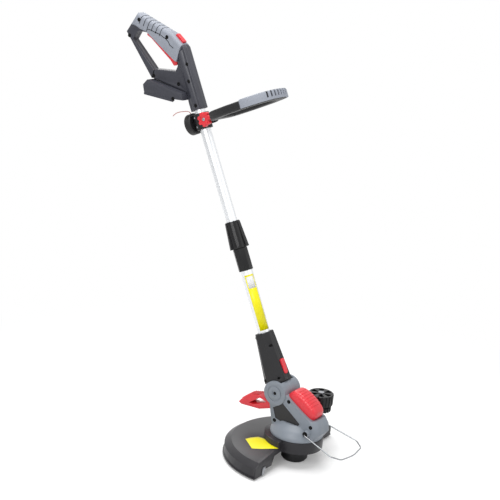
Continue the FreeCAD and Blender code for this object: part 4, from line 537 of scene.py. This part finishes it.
class TRIMMER_OT_spare_line(bpy.types.Operator):
    """Lay the loose end of the spare line"""

    bl_idname = "trimmer.spare_line"
    bl_label = "Spare line end"

    def execute(self, context):
        points = [shaft_point(*place) for place in SPARE_ROUTE]
        data = bpy.data.curves.new("spare_line_end", "CURVE")
        data.dimensions = "3D"
        spline = data.splines.new("NURBS")
        spline.points.add(len(points) - 1)
        for control, point in zip(spline.points, points):
            control.co = (*point, 1)
        spline.order_u = 3
        spline.use_endpoint_u = True
        spline.resolution_u = 12
        data.bevel_depth = LINE_ACROSS / 2
        data.bevel_resolution = 4
        data.use_fill_caps = True
        piece = bpy.data.objects.new("spare_line_end", data)
        context.scene.collection.objects.link(piece)
        data.materials.append(materials["nylon_line"])
        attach(piece, "handle")
        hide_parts("spare_line_tail")
        return {"FINISHED"}


# where the label's middle faces, and its white field: below the label's top, and in from its sides
LABEL_FACES = math.radians(-40)
WINDOW_LOW, WINDOW_HIGH = 32 * MM, 4 * MM
WINDOW_FIRST, WINDOW_LAST = 0.12, 0.88


class TRIMMER_OT_tube_label(bpy.types.Operator):
    """Stick the bare yellow label on the lower tube"""

    bl_idname = "trimmer.tube_label"
    bl_label = "Tube label"

    def execute(self, context):
        low, high = sizes().label_low, sizes().label_high
        self.strip("tube_label", "yellow_vinyl", (low, high), (0.0, 1.0), LOWER_TUBE_R + 0.08)
        self.strip("tube_label_window", "white_vinyl", (high - WINDOW_LOW, high - WINDOW_HIGH),
                   (WINDOW_FIRST, WINDOW_LAST), LOWER_TUBE_R + 0.16)
        return {"FINISHED"}

    def strip(self, name, finish, heights, shares, radius):
        """One layer of vinyl, between two heights and two shares of the label's wrap."""
        low, high = heights
        first, last = shares
        wrap = sizes().label_angle
        start = LABEL_FACES - wrap / 2 + wrap * first
        foot = PIVOT - AHEAD * SETBACK + UP_TUBE * low
        out = AHEAD * math.cos(start) + LEFT * math.sin(start)
        shape = bmesh.new()
        near = shape.verts.new(foot + out * radius * MM)
        far = shape.verts.new(foot + out * radius * MM + UP_TUBE * (high - low))
        edge = shape.edges.new((near, far))
        bmesh.ops.spin(shape, geom=[near, far, edge], cent=foot, axis=UP_TUBE, dvec=(0, 0, 0),
                       angle=wrap * (last - first), steps=24, use_merge=False)
        piece = finished(name, shape, "lower_shaft", materials[finish])
        skin = piece.modifiers.new("thickness", "SOLIDIFY")
        skin.thickness = 0.1 * MM
        skin.offset = 0


class TRIMMER_OT_guard_label(bpy.types.Operator):
    """Stick the bare yellow label on the guard's slope"""

    bl_idname = "trimmer.guard_label"
    bl_label = "Guard label"

    corners = ((-90, -77), (-51, -108), (-30, -98), (0, -77), (-3, -67), (-36, -57), (-70, -54), (-84, -66))

    def execute(self, context):
        shape = bmesh.new()
        face = shape.faces.new([shape.verts.new((x * MM, y * MM, 0.0)) for x, y in self.corners])
        bmesh.ops.triangulate(shape, faces=[face])
        bmesh.ops.subdivide_edges(shape, edges=shape.edges, cuts=7, use_grid_fill=True)
        slope = (GUARD_BROW - GUARD_RIM) / (GUARD_RIM_R - GUARD_BROW_R)
        for vert in shape.verts:
            reach = max(vert.co.xy.length - GUARD_BROW_R * MM, 0.0)
            vert.co.z = GUARD_BROW * MM - slope * reach + 0.2 * MM
        piece = finished("guard_label", shape, "head", materials["yellow_vinyl"])
        skin = piece.modifiers.new("thickness", "SOLIDIFY")
        skin.thickness = 0.15 * MM
        return {"FINISHED"}


class TRIMMER_OT_painted_shade_wells(bpy.types.Operator):
    """Paint shade into the pivot's socket, the wire guard's bosses and the screws' wells, as thin black
    rings
    """

    bl_idname = "trimmer.dark_wells"
    bl_label = "Dark wells"

    def execute(self, context):
        low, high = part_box("pivot_bolt")
        x, z = (low[0] + high[0]) / 2, (low[2] + high[2]) / 2
        boss_x, boss_y, boss_z = (place * MM for place in WIRE_BOSS)
        # dark rings of painted shade in the pivot's socket and round the wire guard's bosses
        wells = (("pivot_well", (x, low[1], z), (0.4, 4.0), -1),
                 ("pivot_well_far", (x, high[1], z), (0.4, 3.4), 1),
                 ("boss_well", (boss_x, -boss_y, boss_z), (1.7, 6.6), -1),
                 ("boss_well_far", (boss_x, boss_y, boss_z), (1.7, 5.6), 1))
        for name, centre, radii, side in wells:
            flat_ring(name, Vector(centre), radii, 0.6, 0.15, 32, "head", side)
        spots = [("handle", shaft_point(n, -y, t)) for n, t, y in HANDLE_SCREWS]
        spots += [("neck", shaft_point(n, -y, t)) for n, t, y in NECK_SCREWS]
        spots += [("head", Vector((x, -HOUSING_HALF, z)) * MM) for x, z in HEAD_SCREWS]
        # each screw gets a dark ring of painted shade in its well
        for index, (body, spot) in enumerate(spots):
            flat_ring("screw_well_shade_%02d" % index, spot, (1.0, 4.6), 0.5, 0.15, 28, body)
        return {"FINISHED"}


# the rear grip, ahead of the tubes' axis and up the tube: the parting line over the trigger, and its back
GRIP_SEAM = ((-74, 888), (-69, 893), (-61, 889), (-36, 868.6), (-24, 855), (-19.5, 847), (-18, 838),
             (-11, 829))
GRIP_BACK = Vector((-85, 938)), Vector((-4, 860.5))
GRIP_HALF = 17.0
GROOVES, FIRST_GROOVE, NEXT_GROOVE = 6, 0.15, 0.115


class TRIMMER_OT_grip_seams(bpy.types.Operator):
    """Draw the parting line over the trigger, and painted shade along the floors of the rear grip's grooves
    """

    bl_idname = "trimmer.grip_seams"
    bl_label = "Grip seams"

    def execute(self, context):
        sides = [[shaft_point(n, side * GRIP_HALF, t) for n, t in GRIP_SEAM] for side in (-1, 1)]
        thin_line("grip_seams", sides, 0.8, "handle")
        first, last = GRIP_BACK
        along = (last - first).normalized()
        out = Vector((-along.y, along.x))
        tops = [first.lerp(last, FIRST_GROOVE + NEXT_GROOVE * index) for index in range(GROOVES)]
        # dark lines of painted shade along the grooves' floors
        thin_line("grip_groove_shade", [self.groove(top, out) for top in tops], 0.85, "handle")
        return {"FINISHED"}

    def groove(self, top, out):
        """One groove's floor, up the side, over the grip's rounded back and down the other side."""
        corner_y, corner_deep, round_r = 9, 8, 7.3
        path = [(16.9, 20.0), (16.9, 14.0), (16.4, corner_deep)]
        path += [(corner_y + round_r * math.cos(turn), corner_deep - round_r * math.sin(turn))
                 for turn in (math.radians(18 * step) for step in range(1, 6))]
        path += [(-y, deep) for y, deep in reversed(path)]
        places = [(top - out * deep, y) for y, deep in path]
        return [shaft_point(place.x, y, place.y) for place, y in places]


# half of the front grip seen from above: ahead of the bolt, and to the side
FRONT_OUTER = ((132, 64.0), (147, 63.3), (182, 52.5), (199, 35.5), (205, 14.5))
FRONT_INNER = ((132, 36.2), (141, 36.0), (162, 27.0), (173.5, 11.0))
FRONT_SPACING = 2.0
SLOTS_EACH_SIDE, SLOT_PITCH, SLOT_WIDTH, SLOT_DEPTH, SLOT_EDGE = 4, 10.5, 4.0, 2.6, 0.12


class TRIMMER_OT_front_grip(bpy.types.Operator):
    """Mould the grey grip over the front loop, with the slots that show the black frame"""

    bl_idname = "trimmer.front_grip"
    bl_label = "Front grip"

    def execute(self, context):
        outer, inner = (softened([*half, *((x, -y) for x, y in reversed(half))])
                        for half in (FRONT_OUTER, FRONT_INNER))
        length, inner_length = length_of(outer), length_of(inner)
        rings, slotted = [], []
        for place, is_slot in self.stations(length):
            far = point_along(outer, place)
            near = point_along(inner, place / length * inner_length)
            across = (near - far).normalized()
            ring = []
            for deep, high in self.section((near - far).length, SLOT_DEPTH if is_slot else 0.0):
                spot = far + across * deep
                ring.append(shaft_point(BOLT_AHEAD + spot.x, spot.y, BOLT_UP + high))
            rings.append(ring)
            slotted.append(is_slot)
        shape = ringed(rings, lambda row, i: slotted[row] and slotted[row + 1] and 1 <= i <= 6)
        piece = finished("front_grip", shape, "front_handle", materials["grip_rubber"])
        piece.data.materials.append(materials["black_abs"])
        rounded_edges(piece, 0.5, 40)
        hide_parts("aux_grip")
        return {"FINISHED"}

    def stations(self, length):
        """Where the grip's sections stand along its outer outline, and whether each is in a slot."""
        places = {i * FRONT_SPACING: False for i in range(int(length / FRONT_SPACING) + 1)}
        places[length] = False
        half = SLOT_WIDTH / 2
        for step in range(-SLOTS_EACH_SIDE, SLOTS_EACH_SIDE + 1):
            middle = length / 2 + SLOT_PITCH * step
            places = {at: cut for at, cut in places.items() if abs(at - middle) > half + SLOT_EDGE}
            for offset in (-half - SLOT_EDGE, half + SLOT_EDGE):
                places[middle + offset] = False
            for offset in (-half, 0.0, half):
                places[middle + offset] = True
        return sorted(places.items())

    def section(self, wide, cut):
        """A section of the grip: depth in from its outer face, and height over the loop's middle."""
        top, shoulder, side = 12.2, 10.9, 8.0
        return ((0, -9.0), (0, -2.6), (cut, -2.4), (cut, side), (max(cut, 1.3), shoulder - cut * 0.3),
                (4.6, top - cut * 0.5), (8.5, top - cut * 0.5), (8.7, top), (wide - 4.6, top),
                (wide - 1.3, shoulder), (wide, side), (wide, -3.2))


# the cover lies on the housing's slope: its crest and its half width against the way down the slope
COVER_SLOPE = math.radians(30.85)
COVER_TOP = Vector((-22 * MM, 0, 160 * MM))
COVER_CREST = ((0.5, 5), (3, 15), (9, 22), (24, 27.5), (50, 28), (70, 24), (80, 18), (85, 8))
COVER_PLAN = ((0.5, 16), (4, 22), (16, 24), (64, 24), (79, 22), (85, 15))
COVER_GROOVES, COVER_FIRST, COVER_PITCH, COVER_DEEP = 7, 18, 7.6, 1.0
COVER_ROWS, COVER_STEPS, COVER_BOXINESS = 44, 24, 0.5


class TRIMMER_OT_motor_cover(bpy.types.Operator):
    """Mould the domed red cover with its shallow grooves"""

    bl_idname = "trimmer.motor_cover"
    bl_label = "Motor cover"

    def execute(self, context):
        crest, plan = softened(COVER_CREST), softened(COVER_PLAN)
        start, length = crest[0].x, crest[-1].x - crest[0].x
        depths = {round(start + length * i / COVER_ROWS, 3): 0.0 for i in range(COVER_ROWS + 1)}
        for index in range(COVER_GROOVES):
            middle = COVER_FIRST + COVER_PITCH * index
            depths = {u: deep for u, deep in depths.items() if abs(u - middle) > 1.5}
            depths.update({middle - 1.3: 0.0, middle - 0.7: COVER_DEEP, middle + 0.7: COVER_DEEP,
                           middle + 1.3: 0.0})
        rings = [self.ring(u, height_at(crest, u) - depths[u], height_at(plan, u)) for u in sorted(depths)]
        piece = finished("motor_cover_dome", ringed(rings), "head", materials["red_abs"])
        rounded_edges(piece, 0.6, 50)
        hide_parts("motor_cover")
        return {"FINISHED"}

    def ring(self, u, high, wide):
        """A boxy arch over the slope, at u millimetres down it."""
        down = Vector((math.cos(COVER_SLOPE), 0, -math.sin(COVER_SLOPE)))
        out = Vector((math.sin(COVER_SLOPE), 0, math.cos(COVER_SLOPE)))
        points = []
        for step in range(COVER_STEPS + 1):
            turn = math.pi * step / COVER_STEPS
            side = abs(math.cos(turn)) ** COVER_BOXINESS * (1 if math.cos(turn) > 0 else -1)
            lift = high * math.sin(turn) ** COVER_BOXINESS if 0 < step < COVER_STEPS else 0.0
            points.append(COVER_TOP + down * (u * MM) + LEFT * (-wide * side * MM) + out * (lift * MM))
        return points


# one side wall of the battery foot, ahead of the tubes' axis and up the tube
FOOT_WALL = ((-116, 758), (-40, 717), (-43.3, 710.8), (-119.3, 751.8))
FOOT_WALL_SIDES = (30.1, 34.0)
# the knob's steel centre: how far to the right, and its radius there
KNOB_CENTRE = ((-28.2, 4.0), (-29.0, 4.0), (-29.5, 3.0))


class TRIMMER_OT_small_trim(bpy.types.Operator):
    """Fit the battery foot's side walls, the side panels' rims and the star knob's steel centre"""

    bl_idname = "trimmer.small_trim"
    bl_label = "Small trim"

    def execute(self, context):
        for name, side in (("right", -1), ("left", 1)):
            rings = [[shaft_point(n, side * y, t) for n, t in FOOT_WALL] for y in FOOT_WALL_SIDES]
            piece = finished("foot_wall_" + name, ringed(rings), "handle",
                             materials["slate_abs"])
            rounded_edges(piece, 1.0)
        panel = [Vector((x, -HOUSING_HALF, z)) * MM for x, z in PANEL]
        middle = panel[0].lerp(panel[1], 0.5)
        panel = [middle, *panel[1:], panel[0], middle]
        for name, side in (("right", 1), ("left", -1)):
            rim = [Vector((spot.x, spot.y * side, spot.z)) for spot in panel]
            thin_line("panel_rim_" + name, [rim], 1.1, "head", "housing_abs")
        rings = []
        for y, radius in KNOB_CENTRE:
            turns = [math.tau * i / 24 for i in range(24)]
            rings.append([shaft_point(BOLT_AHEAD + radius * math.cos(a), y, BOLT_UP + radius * math.sin(a))
                          for a in turns])
        finished("knob_centre", ringed(rings), "knob", materials["zinc_steel"])
        return {"FINISHED"}


PIECES = (TRIMMER_OT_stage, TRIMMER_OT_finishes, TRIMMER_OT_spare_line, TRIMMER_OT_tube_label,
          TRIMMER_OT_guard_label, TRIMMER_OT_painted_shade_wells, TRIMMER_OT_grip_seams, TRIMMER_OT_front_grip,
          TRIMMER_OT_motor_cover, TRIMMER_OT_small_trim)


class TRIMMER_PT_panel(bpy.types.Panel):
    """Settings and pieces of the trimmer"""

    bl_label = "Grass trimmer"
    bl_idname = "TRIMMER_PT_panel"
    bl_space_type = "VIEW_3D"
    bl_region_type = "UI"
    bl_category = "Trimmer"

    def draw(self, context):
        for settings in (context.scene.trimmer_colours, context.scene.trimmer_sizes):
            for name in settings.bl_rna.properties.keys()[2:]:
                self.layout.prop(settings, name)
        for piece in PIECES:
            self.layout.operator(piece.bl_idname)


CLASSES = (TrimmerColours, TrimmerSizes, *PIECES, TRIMMER_PT_panel)


def register():
    for item in CLASSES:
        bpy.utils.register_class(item)
    bpy.types.Scene.trimmer_colours = bpy.props.PointerProperty(type=TrimmerColours)
    bpy.types.Scene.trimmer_sizes = bpy.props.PointerProperty(type=TrimmerSizes)


def unregister():
    del bpy.types.Scene.trimmer_sizes
    del bpy.types.Scene.trimmer_colours
    for item in reversed(CLASSES):
        bpy.utils.unregister_class(item)


def main():
    register()
    for piece in PIECES:
        group, action = piece.bl_idname.split(".")
        getattr(getattr(bpy.ops, group), action)()


if __name__ == "__main__":
    main()
